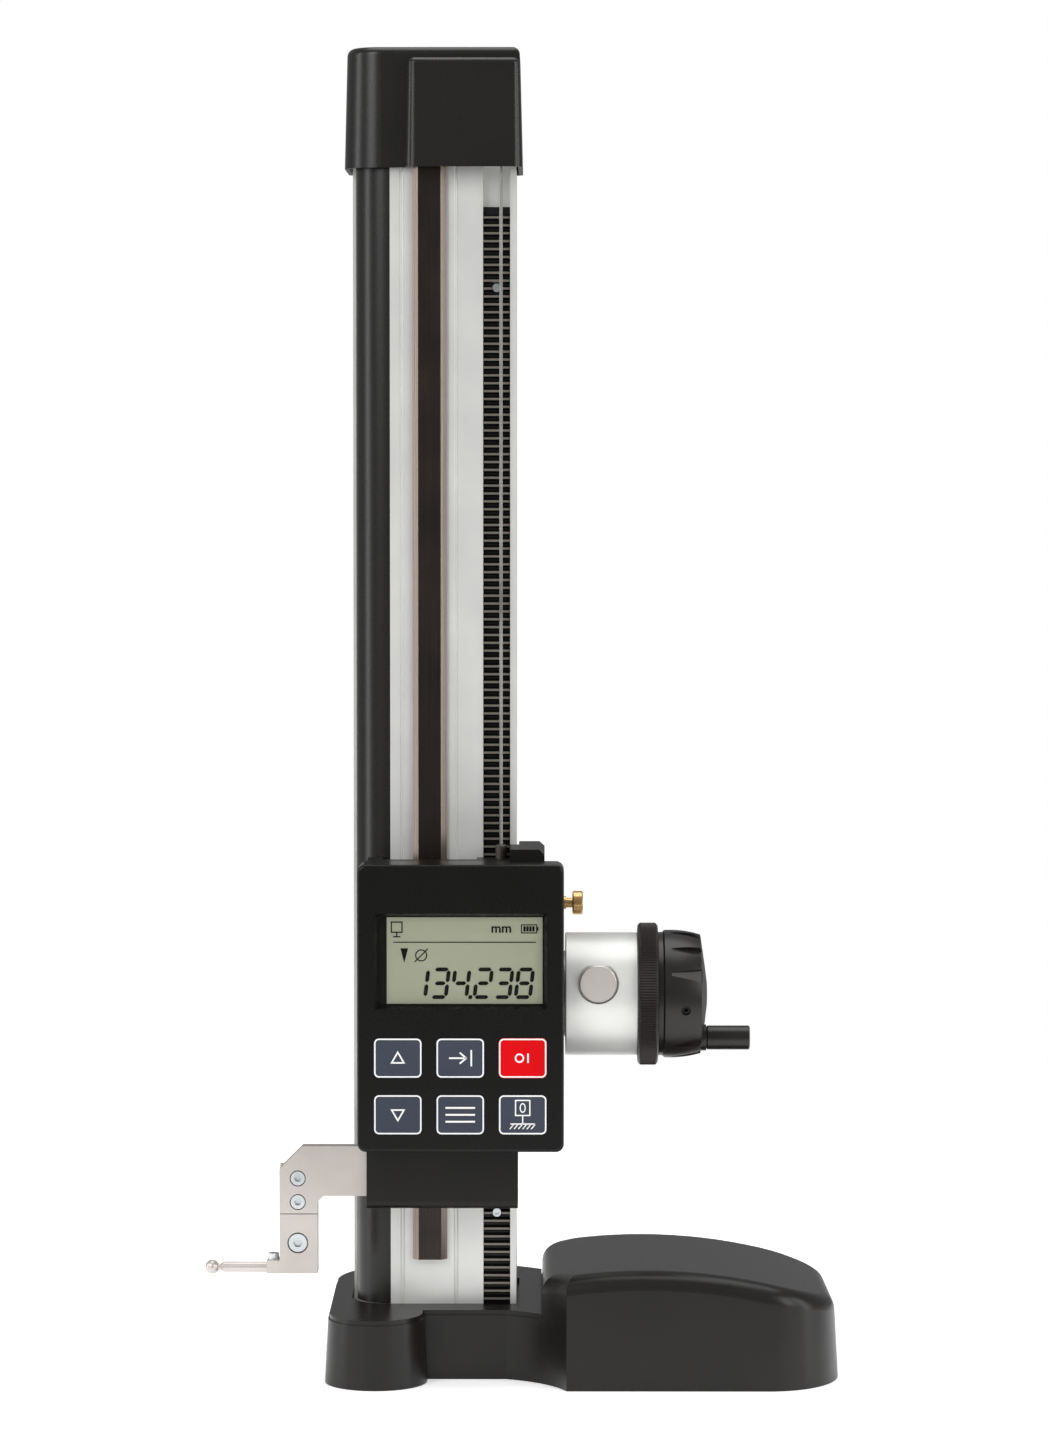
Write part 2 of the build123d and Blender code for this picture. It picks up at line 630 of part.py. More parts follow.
with BuildPart() as gear_rack:
    with BuildSketch(Plane.YZ.offset(RACK_X - RACK_WIDTH / 2)):
        with BuildLine():
            Polyline(*rack_outline, close=True)
        make_face()
    extrude(amount=RACK_WIDTH)
    for screw_z in RACK_SCREW_Z:
        with BuildSketch(upright(RACK_X, RACK_BACK_Y, screw_z)):
            Circle(RACK_SCREW_SHANK)
        extrude(amount=RACK_SLOT_DEPTH, mode=Mode.SUBTRACT)
        with BuildSketch(upright(RACK_X, screw_seat_y, screw_z)):
            Circle(RACK_SCREW_HEAD + SCREW_HEAD_GAP)
        extrude(amount=RACK_SLOT_DEPTH, mode=Mode.SUBTRACT)
keep(gear_rack, "gear_rack")

with BuildPart() as rack_screws:
    for screw_z in RACK_SCREW_Z:
        seat = upright(RACK_X, screw_seat_y, screw_z)
        grip = RACK_SCREW_SEAT + COLUMN_WALL
        add(socket_screw(seat, RACK_SCREW_HEAD, RACK_SCREW_HEIGHT, RACK_SCREW_SHANK, grip))
keep(rack_screws, "rack_screws")

# Plate on the column's top, with a lip at the rear that holds the cap
with BuildPart() as top_plate:
    with BuildSketch(Plane.XY.offset(COLUMN_TOP_Z)):
        add(column_shape(0.0))
        with Locations((WIRE_REAR_X, WIRE_REAR_Y)):
            Circle(WIRE_HOLE_RADIUS, mode=Mode.SUBTRACT)
        with Locations(*TOP_SCREW_PORTS):
            Circle(BOLT_RADIUS, mode=Mode.SUBTRACT)
    extrude(amount=TOP_PLATE_THICKNESS)
    with BuildSketch(Plane.XY.offset(TOP_PLATE_TOP_Z)):
        with Locations((0, -COLUMN_FACE)):
            Rectangle(TOP_LIP_WIDTH, TOP_PLATE_THICKNESS, align=(Align.CENTER, Align.MAX))
    extrude(amount=TOP_LIP_HEIGHT)
    for screw_x in CAP_SCREW_X:
        with BuildSketch(Plane(origin=(screw_x, -COLUMN_FACE, CAP_SCREW_Z), z_dir=(0, -1, 0))):
            Circle(CAP_SCREW_RADIUS)
        extrude(amount=TOP_PLATE_THICKNESS, mode=Mode.SUBTRACT)
keep(top_plate, "top_plate")

with BuildPart() as top_plate_screws:
    for port in TOP_SCREW_PORTS:
        seat = Plane(origin=(port[0], port[1], TOP_PLATE_TOP_Z))
        grip = TOP_PLATE_THICKNESS + TOP_SCREW_GRIP
        add(socket_screw(seat, BOLT_HEAD_RADIUS, TOP_SCREW_HEAD_HEIGHT, BOLT_RADIUS, grip))
keep(top_plate_screws, "top_plate_screws")

# Pulley over the column's front right, set askew so that the wire drops inside the column
wheel_span = Vector(WIRE_X - WIRE_REAR_X, WIRE_Y - WIRE_REAR_Y, 0).normalized()
axle_way = wheel_span.cross(Vector(0, 0, 1))
pulley_centre = Vector(PULLEY_X, PULLEY_Y, PULLEY_Z)
pulley_axis = Axis(pulley_centre, axle_way)
half_pulley = PULLEY_WIDTH / 2
cheek_inside = half_pulley + CHEEK_GAP
cheek_outside = cheek_inside + CHEEK_THICKNESS
groove_radius = WRAP_RADIUS - WIRE_RADIUS - WIRE_GAP
groove_floor = WIRE_RADIUS + WIRE_GAP
flange_radius = WRAP_RADIUS + PULLEY_FLANGE
with BuildPart() as cable_pulley:
    with BuildSketch(Plane(origin=pulley_centre, x_dir=(0, 0, 1), z_dir=wheel_span)):
        with BuildLine():
            Polyline(
                (AXLE_RADIUS + SHAFT_FIT, -half_pulley),
                (flange_radius, -half_pulley),
                (flange_radius, -2 * groove_floor),
                (groove_radius, -groove_floor),
                (groove_radius, groove_floor),
                (flange_radius, 2 * groove_floor),
                (flange_radius, half_pulley),
                (AXLE_RADIUS + SHAFT_FIT, half_pulley),
                close=True,
            )
        make_face()
    revolve(axis=pulley_axis)
keep(cable_pulley, "cable_pulley")


def cheek_plane(distance, side):
    """A plane beside the pulley, with x along its face and y up, looking away from it."""
    centre = pulley_centre + axle_way * distance * side
    return Plane(origin=centre, x_dir=wheel_span * side, z_dir=axle_way * side)


cheek_height = PULLEY_Z - TOP_PLATE_TOP_Z
with BuildPart() as pulley_bracket:
    for side in (1, -1):
        with BuildSketch(cheek_plane(cheek_inside, side)):
            Circle(CHEEK_WIDTH / 2)
            Rectangle(CHEEK_WIDTH, cheek_height, align=(Align.CENTER, Align.MAX))
            Circle(AXLE_RADIUS, mode=Mode.SUBTRACT)
        extrude(amount=CHEEK_THICKNESS)
        with BuildSketch(cheek_plane(cheek_outside, side)):
            with Locations((0, -cheek_height)):
                Rectangle(CHEEK_WIDTH, CHEEK_THICKNESS, align=(Align.CENTER, Align.MIN))
        extrude(amount=CHEEK_FOOT)
keep(pulley_bracket, "pulley_bracket")

with BuildPart() as pulley_axle:
    with BuildSketch(cheek_plane(cheek_outside, -1)):
        Circle(AXLE_RADIUS)
    extrude(amount=-2 * cheek_outside)
keep(pulley_axle, "pulley_axle")

# Wire rope: front run, half turn over the pulley, rear run to the counterweight
anchor_top_z = CARRIAGE_TOP_Z + ANCHOR_HEIGHT
eye_top_z = WEIGHT_TOP_Z + EYE_HEIGHT
with BuildPart() as wire_front:
    with BuildSketch(Plane(origin=(WIRE_X, WIRE_Y, anchor_top_z))):
        Circle(WIRE_RADIUS)
    extrude(amount=PULLEY_Z - anchor_top_z)
keep(wire_front, "wire_front")

with BuildPart() as wire_wrap:
    with BuildSketch(Plane(origin=(WIRE_X, WIRE_Y, PULLEY_Z))):
        Circle(WIRE_RADIUS)
    revolve(axis=pulley_axis, revolution_arc=180)
keep(wire_wrap, "wire_wrap")

with BuildPart() as wire_rear:
    with BuildSketch(Plane(origin=(WIRE_REAR_X, WIRE_REAR_Y, eye_top_z))):
        Circle(WIRE_RADIUS)
    extrude(amount=PULLEY_Z - eye_top_z)
keep(wire_rear, "wire_rear")

with BuildPart() as wire_anchor:
    with BuildSketch(Plane(origin=(WIRE_X, WIRE_Y, CARRIAGE_TOP_Z))):
        Circle(ANCHOR_RADIUS)
    extrude(amount=ANCHOR_HEIGHT)
    chamfer(wire_anchor.edges().sort_by(Axis.Z)[-1], ANCHOR_RADIUS / 4)
keep(wire_anchor, "wire_anchor")

# Counterweight with its eye cast on
with BuildPart() as counterweight:
    with BuildSketch(Plane(origin=(WIRE_REAR_X, WIRE_REAR_Y, WEIGHT_TOP_Z))):
        RectangleRounded(WEIGHT_SIZE[0], WEIGHT_SIZE[1], WEIGHT_CORNER)
    extrude(amount=-WEIGHT_SIZE[2])
    with BuildSketch(Plane(origin=(WIRE_REAR_X, WIRE_REAR_Y, WEIGHT_TOP_Z))):
        Circle(EYE_RADIUS)
    extrude(amount=EYE_HEIGHT)
    with BuildSketch(upright(WIRE_REAR_X, WIRE_REAR_Y, WEIGHT_TOP_Z + EYE_HEIGHT / 2)):
        Circle(EYE_RADIUS / 2)
    extrude(amount=EYE_RADIUS, both=True, mode=Mode.SUBTRACT)
keep(counterweight, "counterweight")


# Column cap: a moulded hood with a raised panel in front of the pulley
def cap_body(inset):
    """The cap's form, drawn in all round by an inset."""
    right = CAP_RIGHT - inset
    rear = CAP_REAR - inset
    low_corner = (Align.MIN, Align.MIN)
    with BuildSketch(Plane.XY.offset(CAP_FOOT_Z)) as main_shape:
        with Locations((CAP_LEFT + inset, CAP_FRONT + inset)):
            Rectangle(right - CAP_LEFT - inset, rear - CAP_FRONT - inset, align=low_corner)
        fillet(main_shape.vertices().sort_by(DIAGONAL)[0], CAP_FRONT_LEFT_CORNER - inset)
        fillet(main_shape.vertices().group_by(Axis.Y)[-1], CAP_CORNER - inset)
    with BuildSketch(Plane.XY.offset(CAP_FOOT_Z)) as hood_shape:
        with Locations((HOOD_LEFT + inset, HOOD_FRONT + inset)):
            Rectangle(right - HOOD_LEFT - inset, -HOOD_FRONT - inset, align=low_corner)
        fillet(hood_shape.vertices().group_by(Axis.Y)[0], HOOD_CORNER - inset)
    with BuildPart() as body:
        add(hood_shape.sketch)
        extrude(amount=CAP_TOP_Z - HOOD_TOP_DROP - CAP_FOOT_Z - inset, taper=CAP_DRAFT)
        if not inset:
            fillet(body.faces().sort_by(Axis.Z)[-1].edges(), HOOD_TOP_FILLET)
        add(main_shape.sketch)
        extrude(amount=CAP_TOP_Z - CAP_FOOT_Z - inset, taper=CAP_DRAFT)
        if not inset:
            fillet(body.faces().sort_by(Axis.Z)[-1].edges(), CAP_TOP_FILLET)
    return body.part


lip_back_y = -COLUMN_FACE
cap_rear_y = CAP_REAR - (CAP_SCREW_Z - CAP_FOOT_Z) * tan(radians(CAP_DRAFT))
cap_seat_y = cap_rear_y - CAP_SCREW_SINK
with BuildPart() as column_cap:
    add(cap_body(0.0))
    add(cap_body(CAP_WALL), mode=Mode.SUBTRACT)
    for screw_x in CAP_SCREW_X:
        with BuildSketch(upright(screw_x, lip_back_y, CAP_SCREW_Z)):
            Circle(CAP_SCREW_HEAD + SCREW_HEAD_GAP)
        extrude(amount=-(cap_seat_y - lip_back_y))
        with BuildSketch(upright(screw_x, cap_seat_y, CAP_SCREW_Z)):
            Circle(CAP_SCREW_HEAD + SCREW_HEAD_GAP)
        extrude(amount=-CAP_WALL, mode=Mode.SUBTRACT)
        with BuildSketch(upright(screw_x, lip_back_y, CAP_SCREW_Z)):
            Circle(CAP_SCREW_RADIUS)
        extrude(amount=-(cap_seat_y - lip_back_y), mode=Mode.SUBTRACT)
keep(column_cap, "column_cap")

with BuildPart() as cap_screws:
    for screw_x in CAP_SCREW_X:
        seat = Plane(origin=(screw_x, cap_seat_y, CAP_SCREW_Z), x_dir=(-1, 0, 0), z_dir=(0, 1, 0))
        grip = cap_seat_y - lip_back_y + TOP_PLATE_THICKNESS
        add(socket_screw(seat, CAP_SCREW_HEAD, CAP_SCREW_HEIGHT, CAP_SCREW_RADIUS, grip))
keep(cap_screws, "cap_screws")

# Carriage body: a slab before the column and an ear beside it
slab_width = CARRIAGE_RIGHT - CARRIAGE_LEFT
bridge_left = CARRIAGE_RIGHT - CARRIAGE_EDGE
with BuildPart() as carriage_body:
    with BuildSketch(Plane.XY.offset(CARRIAGE_FOOT_Z)):
        with Locations((CARRIAGE_LEFT, CARRIAGE_FRONT)):
            Rectangle(slab_width, CARRIAGE_BACK - CARRIAGE_FRONT, align=(Align.MIN, Align.MIN))
    extrude(amount=CARRIAGE_TOP_Z - CARRIAGE_FOOT_Z)
    front_edges = carriage_body.faces().sort_by(Axis.Y)[0].edges()
    fillet(front_edges.sort_by(Axis.Z)[0], CARRIAGE_EDGE)
    with BuildSketch(Plane.XY.offset(EAR_FOOT_Z)):
        with Locations((bridge_left, CARRIAGE_FRONT)):
            Rectangle(EAR_RIGHT - bridge_left, CARRIAGE_BACK - CARRIAGE_FRONT, align=(Align.MIN, Align.MIN))
        with Locations((EAR_LEFT, CARRIAGE_FRONT)):
            Rectangle(EAR_RIGHT - EAR_LEFT, EAR_REAR - CARRIAGE_FRONT, align=(Align.MIN, Align.MIN))
    extrude(amount=EAR_TOP_Z - EAR_FOOT_Z)
    ear_side = carriage_body.faces().sort_by(Axis.X)[-1]
    chamfer(ear_side.edges().sort_by(Axis.Z)[-1], EAR_CHAMFER)
    ear_rear = carriage_body.faces().sort_by(Axis.Y)[-1]
    fillet(ear_rear.edges().filter_by(Axis.X), CARRIAGE_EDGE)
    # Channel for the rail and its rollers
    with BuildSketch(Plane.XY.offset(CARRIAGE_FOOT_Z)):
        with Locations((RAIL_X, CARRIAGE_BACK)):
            Rectangle(2 * CHANNEL_HALF, CHANNEL_DEPTH, align=(Align.CENTER, Align.MAX))
    extrude(amount=CARRIAGE_TOP_Z - CARRIAGE_FOOT_Z, mode=Mode.SUBTRACT)
    # Pocket round the pinion, open to the rack
    with BuildSketch(along_x(RACK_X - POCKET_WIDTH / 2)):
        Circle(POCKET_RADIUS)
        Rectangle(CARRIAGE_BACK - AXIS_Y, 2 * POCKET_RADIUS, align=(Align.MIN, Align.CENTER))
    extrude(amount=POCKET_WIDTH, mode=Mode.SUBTRACT)
    # Shaft bore through to the ear's right face
    with BuildSketch(along_x(RAIL_X)):
        Circle(SHAFT_RADIUS + SHAFT_FIT)
    extrude(amount=EAR_RIGHT - RAIL_X, mode=Mode.SUBTRACT)
    # Clamp screw bore and shoe pocket in the ear
    with BuildSketch(along_x(EAR_LEFT, CLAMP_Y, CLAMP_Z)):
        Circle(CLAMP_STEM_RADIUS + SHAFT_FIT)
    extrude(amount=EAR_RIGHT - EAR_LEFT, mode=Mode.SUBTRACT)
    with BuildSketch(along_x(EAR_LEFT, CLAMP_Y, CLAMP_Z)):
        Circle(SHOE_RADIUS + SHAFT_FIT)
    extrude(amount=SHOE_LENGTH, mode=Mode.SUBTRACT)
    # Sleeve screws, sunk in the ear's left face
    for rise in (SLEEVE_SCREW_RISE, -SLEEVE_SCREW_RISE):
        with BuildSketch(along_x(EAR_LEFT, AXIS_Y + SLEEVE_SCREW_OFFSET, AXIS_Z + rise)):
            Circle(CARRIAGE_SCREW_RADIUS)
        extrude(amount=EAR_RIGHT - EAR_LEFT, mode=Mode.SUBTRACT)
        with BuildSketch(along_x(EAR_LEFT, AXIS_Y + SLEEVE_SCREW_OFFSET, AXIS_Z + rise)):
            Circle(CARRIAGE_SCREW_HEAD + SCREW_HEAD_GAP)
        extrude(amount=CARRIAGE_SCREW_HEIGHT, mode=Mode.SUBTRACT)
    # Slot for the probe arm, and its two screws from the channel
    with BuildSketch(upright(CARRIAGE_LEFT, ARM_Y + ARM_THICKNESS / 2, ARM_UNDER_Z)):
        Rectangle(ARM_RIGHT - CARRIAGE_LEFT, ARM_TOP_Z - ARM_UNDER_Z, align=(Align.MIN, Align.MIN))
    extrude(amount=ARM_THICKNESS, mode=Mode.SUBTRACT)
    for screw_z in ARM_SCREW_Z:
        with BuildSketch(upright(ARM_SCREW_X, CHANNEL_FLOOR, screw_z)):
            Circle(CARRIAGE_SCREW_RADIUS)
        extrude(amount=CHANNEL_FLOOR - ARM_Y, mode=Mode.SUBTRACT)
        with BuildSketch(upright(ARM_SCREW_X, CHANNEL_FLOOR, screw_z)):
            Circle(CARRIAGE_SCREW_HEAD + SCREW_HEAD_GAP)
        extrude(amount=CARRIAGE_SCREW_HEIGHT, mode=Mode.SUBTRACT)
    # Display screws and roller studs
    for screw_x in DISPLAY_SCREW_X:
        for screw_z in DISPLAY_SCREW_Z:
            with BuildSketch(upright(screw_x, CARRIAGE_FRONT, screw_z)):
                Circle(DISPLAY_SCREW_RADIUS)
            extrude(amount=-DISPLAY_SCREW_GRIP, mode=Mode.SUBTRACT)
    for stud_x in STUD_X:
        for stud_z in ROLLER_Z:
            with BuildSketch(upright(stud_x, CHANNEL_FLOOR, stud_z)):
                Circle(STUD_RADIUS)
            extrude(amount=STUD_GRIP, mode=Mode.SUBTRACT)
keep(carriage_body, "carriage_body")

# Screws of the probe arm and of the handwheel sleeve
arm_seat_y = CHANNEL_FLOOR - CARRIAGE_SCREW_HEIGHT
sleeve_seat_x = EAR_LEFT + CARRIAGE_SCREW_HEIGHT
sleeve_grip = EAR_RIGHT - sleeve_seat_x + SLEEVE_SCREW_GRIP
carriage_screw_head = (CARRIAGE_SCREW_HEAD, CARRIAGE_SCREW_HEIGHT)
with BuildPart() as carriage_screws:
    for screw_z in ARM_SCREW_Z:
        seat = Plane(origin=(ARM_SCREW_X, arm_seat_y, screw_z), x_dir=(-1, 0, 0), z_dir=(0, 1, 0))
        add(socket_screw(seat, *carriage_screw_head, CARRIAGE_SCREW_RADIUS, arm_seat_y - ARM_Y))
    for rise in (SLEEVE_SCREW_RISE, -SLEEVE_SCREW_RISE):
        place = (sleeve_seat_x, AXIS_Y + SLEEVE_SCREW_OFFSET, AXIS_Z + rise)
        seat = Plane(origin=place, x_dir=(0, 1, 0), z_dir=(-1, 0, 0))
        add(socket_screw(seat, *carriage_screw_head, CARRIAGE_SCREW_RADIUS, sleeve_grip))
keep(carriage_screws, "carriage_screws")

# Guide rollers, coned like the rail's bevels, on studs in the channel's floor
cone_depth = RAIL_BEVEL - ROLLER_FOOT_GAP
with BuildPart() as roller_studs:
    for stud_x in STUD_X:
        for stud_z in ROLLER_Z:
            with BuildSketch(upright(stud_x, ROLLER_FOOT_Y, stud_z)):
                Circle(STUD_RADIUS)
            extrude(amount=ROLLER_FOOT_Y - CHANNEL_FLOOR + STUD_GRIP)
            with BuildSketch(upright(stud_x, ROLLER_CROWN_Y - ROLLER_END_GAP, stud_z)):
                Circle(STUD_FOOT_RADIUS)
            extrude(amount=ROLLER_CROWN_Y - ROLLER_END_GAP - CHANNEL_FLOOR)
keep(roller_studs, "roller_studs")
roller_number = 0
for stud_z in ROLLER_Z:
    for stud_x in STUD_X:
        roller_number += 1
        with BuildPart() as guide_roller:
            with BuildSketch(Plane(origin=(stud_x, 0, stud_z), x_dir=(1, 0, 0), z_dir=(0, 0, 1))):
                with BuildLine():
                    Polyline(
                        (STUD_RADIUS + SHAFT_FIT, ROLLER_CROWN_Y),
                        (ROLLER_FLAT_RADIUS, ROLLER_CROWN_Y),
                        (ROLLER_FLAT_RADIUS, RAIL_FACE_Y),
                        (ROLLER_FLAT_RADIUS - cone_depth, RAIL_FACE_Y + cone_depth),
                        (STUD_RADIUS + SHAFT_FIT, RAIL_FACE_Y + cone_depth),
                        close=True,
                    )
                make_face()
            revolve(axis=Axis((stud_x, 0, stud_z), (0, 1, 0)))
        keep(guide_roller, f"guide_roller_{roller_number}")

# Read head over the rail's graduated face
with BuildPart() as read_head:
    with BuildSketch(upright(RAIL_X, RAIL_FACE_Y - READ_HEAD_GAP, READ_HEAD_Z)):
        RectangleRounded(*READ_HEAD_SIZE, READ_HEAD_CORNER)
    extrude(amount=RAIL_FACE_Y - READ_HEAD_GAP - CHANNEL_FLOOR)
keep(read_head, "read_head")


# Display housing
def display_frame(y, inset, wall=0.0):
    """The display housing's outline at a depth, drawn in by an inset; with a wall, only that rim of it."""
    width = DISPLAY_RIGHT - DISPLAY_LEFT - 2 * inset
    height = DISPLAY_TOP_Z - DISPLAY_FOOT_Z - 2 * inset
    corner = DISPLAY_CORNER - inset
    middle_x = (DISPLAY_LEFT + DISPLAY_RIGHT) / 2
    middle_z = (DISPLAY_TOP_Z + DISPLAY_FOOT_Z) / 2
    with BuildSketch(upright(middle_x, y, middle_z)) as frame:
        RectangleRounded(width, height, corner)
        if wall:
            RectangleRounded(width - 2 * wall, height - 2 * wall, corner - wall, mode=Mode.SUBTRACT)
    return frame.sketch


display_floor = CARRIAGE_FRONT - DISPLAY_WALL
board_back = DISPLAY_SEAM + BOARD_SETBACK
board_face = board_back - BOARD_THICKNESS
with BuildPart() as display_rear_shell:
    extrude(display_frame(CARRIAGE_FRONT, 0.0), amount=CARRIAGE_FRONT - DISPLAY_SEAM)
    fillet(display_rear_shell.faces().sort_by(Axis.Y)[-1].edges(), DISPLAY_EDGE)
    extrude(
        display_frame(display_floor, DISPLAY_WALL), amount=display_floor - DISPLAY_SEAM, mode=Mode.SUBTRACT
    )
    extrude(display_frame(DISPLAY_SEAM, DISPLAY_WALL - SHELL_LIP_WALL, SHELL_LIP_WALL), amount=SHELL_LIP)
    for post_x in POST_X:
        for post_z in POST_Z:
            with BuildSketch(upright(post_x, display_floor, post_z)):
                Circle(STANDOFF_RADIUS)
            extrude(amount=display_floor - board_back)
    for screw_x in DISPLAY_SCREW_X:
        for screw_z in DISPLAY_SCREW_Z:
            with BuildSketch(upright(screw_x, CARRIAGE_FRONT, screw_z)):
                Circle(DISPLAY_SCREW_RADIUS)
            extrude(amount=DISPLAY_WALL, mode=Mode.SUBTRACT)
keep(display_rear_shell, "display_rear_shell")

window_width = WINDOW_RIGHT - WINDOW_LEFT
window_height = WINDOW_TOP_Z - WINDOW_FOOT_Z
window_x = (WINDOW_LEFT + WINDOW_RIGHT) / 2
window_z = (WINDOW_TOP_Z + WINDOW_FOOT_Z) / 2
face_back = DISPLAY_FRONT + DISPLAY_WALL
with BuildPart() as display_front_shell:
    extrude(display_frame(DISPLAY_SEAM, 0.0), amount=DISPLAY_SEAM - DISPLAY_FRONT)
    fillet(display_front_shell.faces().sort_by(Axis.Y)[0].edges(), DISPLAY_EDGE)
    extrude(display_frame(DISPLAY_SEAM, DISPLAY_WALL), amount=DISPLAY_SEAM - face_back, mode=Mode.SUBTRACT)
    lip_room = display_frame(DISPLAY_SEAM, DISPLAY_WALL - SHELL_LIP_WALL - SHELL_LIP_GAP)
    extrude(lip_room, amount=SHELL_LIP + SHELL_LIP_GAP, mode=Mode.SUBTRACT)
    with BuildSketch(upright(window_x, DISPLAY_FRONT, window_z)):
        Rectangle(window_width, window_height)
    with BuildSketch(upright(window_x, face_back, window_z)):
        Rectangle(window_width - 2 * WINDOW_BEVEL, window_height - 2 * WINDOW_BEVEL)
    loft(mode=Mode.SUBTRACT)
    for key_z in KEY_ROWS:
        for key_x in KEY_COLUMNS:
            with BuildSketch(upright(key_x, DISPLAY_FRONT, key_z)):
                RectangleRounded(KEY_WIDTH + 2 * KEY_GAP, KEY_HEIGHT + 2 * KEY_GAP, KEY_CORNER + KEY_GAP)
            extrude(amount=-DISPLAY_WALL, mode=Mode.SUBTRACT)
keep(display_front_shell, "display_front_shell")

with BuildPart() as display_window:
    with BuildSketch(upright(window_x, face_back, window_z)):
        Rectangle(window_width, window_height)
    extrude(amount=-WINDOW_THICKNESS)
keep(display_window, "display_window")

panel_face = face_back + WINDOW_THICKNESS + PANEL_GAP
with BuildPart() as lcd_panel:
    with BuildSketch(upright(window_x, panel_face, window_z)):
        Rectangle(window_width + PANEL_MARGIN, window_height + PANEL_MARGIN)
    extrude(amount=-(board_face - panel_face))
keep(lcd_panel, "lcd_panel")

with BuildPart() as circuit_board:
    extrude(display_frame(board_back, DISPLAY_WALL + BOARD_MARGIN), amount=BOARD_THICKNESS)
keep(circuit_board, "circuit_board")

# Keys on a mat with a dome under each
key_names = ("key_up", "key_send", "key_power", "key_down", "key_menu", "key_zero")
key_places = [(key_x, key_z) for key_z in KEY_ROWS for key_x in KEY_COLUMNS]
key_back = KEY_SEAT_Y + KEY_FLANGE + KEY_STEM
dome_face = key_back + KEY_TRAVEL + KEY_REST_PLAY
for key_name, (key_x, key_z) in zip(key_names, key_places):
    with BuildPart() as key:
        with BuildSketch(upright(key_x, KEY_FACE_Y, key_z)):
            RectangleRounded(KEY_WIDTH, KEY_HEIGHT, KEY_CORNER)
        extrude(amount=-(key_back - KEY_FACE_Y))
        with BuildSketch(upright(key_x, KEY_SEAT_Y, key_z)):
            RectangleRounded(KEY_WIDTH + 2 * KEY_FLANGE, KEY_HEIGHT + 2 * KEY_FLANGE, KEY_CORNER)
        extrude(amount=-KEY_FLANGE)
    keep(key, key_name)

mat_face = board_face - MAT_THICKNESS
with BuildPart() as key_mat:
    with BuildSketch(upright(KEY_COLUMNS[1], board_face, sum(KEY_ROWS) / 2)):
        Rectangle(
            KEY_COLUMNS[-1] - KEY_COLUMNS[0] + KEY_WIDTH, KEY_ROWS[0] - KEY_ROWS[1] + KEY_HEIGHT
        )
    extrude(amount=MAT_THICKNESS)
    for key_x, key_z in key_places:
        with BuildSketch(upright(key_x, mat_face, key_z)):
            Circle(DOME_RADIUS)
        extrude(amount=mat_face - dome_face)
keep(key_mat, "key_mat")

with BuildPart() as battery_pack:
    with BuildSketch(upright(BATTERY_X, display_floor, BATTERY_Z)):
        RectangleRounded(BATTERY_SIZE[0], BATTERY_SIZE[2], BATTERY_CORNER)
    extrude(amount=BATTERY_SIZE[1])
keep(battery_pack, "battery_pack")

with BuildPart() as display_screws:
    for screw_x in DISPLAY_SCREW_X:
        for screw_z in DISPLAY_SCREW_Z:
            seat = upright(screw_x, display_floor, screw_z)
            grip = DISPLAY_WALL + DISPLAY_SCREW_GRIP
            add(socket_screw(seat, DISPLAY_SCREW_HEAD, DISPLAY_SCREW_HEIGHT, DISPLAY_SCREW_RADIUS, grip))
keep(display_screws, "display_screws")

# Handwheel sleeve: neck, barrel and a spigot that carries the fine adjusting ring
button_back_y = BUTTON_FACE_Y + BUTTON_HEIGHT
button_floor_y = button_back_y + BUTTON_TRAVEL + BUTTON_FLOOR_GAP
with BuildPart() as handwheel_sleeve:
    with BuildSketch(along_x(EAR_RIGHT)):
        Circle(SLEEVE_NECK_RADIUS)
    extrude(amount=SLEEVE_START - EAR_RIGHT)
    with BuildSketch(along_x(SLEEVE_START)):
        Circle(SLEEVE_RADIUS)
    extrude(amount=SLEEVE_END - SLEEVE_START)
    barrel_edges = handwheel_sleeve.edges().filter_by(GeomType.CIRCLE)
    chamfer(barrel_edges.filter_by(lambda edge: edge.radius > SLEEVE_NECK_RADIUS), SLEEVE_EDGE)
    with BuildSketch(along_x(SLEEVE_END)):
        Circle(SPIGOT_RADIUS)
    extrude(amount=SPIGOT_END - SLEEVE_END)
    with BuildSketch(along_x(EAR_RIGHT)):
        Circle(SLEEVE_BORE_RADIUS)
    extrude(amount=SPIGOT_END - EAR_RIGHT, mode=Mode.SUBTRACT)
    for rise in (SLEEVE_SCREW_RISE, -SLEEVE_SCREW_RISE):
        with BuildSketch(along_x(EAR_RIGHT, AXIS_Y + SLEEVE_SCREW_OFFSET, AXIS_Z + rise)):
            Circle(CARRIAGE_SCREW_RADIUS)
        extrude(amount=SLEEVE_SCREW_GRIP, mode=Mode.SUBTRACT)
    with BuildSketch(upright(BUTTON_X, button_floor_y, BUTTON_Z)):
        Circle(BUTTON_RADIUS + BUTTON_RECESS_GAP)
    extrude(amount=SLEEVE_RADIUS, mode=Mode.SUBTRACT)
    with BuildSketch(upright(BUTTON_X, button_floor_y, BUTTON_Z)):
        Circle(BUTTON_STEM_RADIUS + SHAFT_FIT)
    extrude(amount=-BUTTON_STEM_LENGTH, mode=Mode.SUBTRACT)
keep(handwheel_sleeve, "handwheel_sleeve")

with BuildPart() as shaft_bushes:
    for bush_start in (EAR_RIGHT, SPIGOT_END - BUSH_LENGTH):
        with BuildSketch(along_x(bush_start)):
            Circle(SLEEVE_BORE_RADIUS)
            Circle(SHAFT_RADIUS + SHAFT_FIT, mode=Mode.SUBTRACT)
        extrude(amount=BUSH_LENGTH)
keep(shaft_bushes, "shaft_bushes")

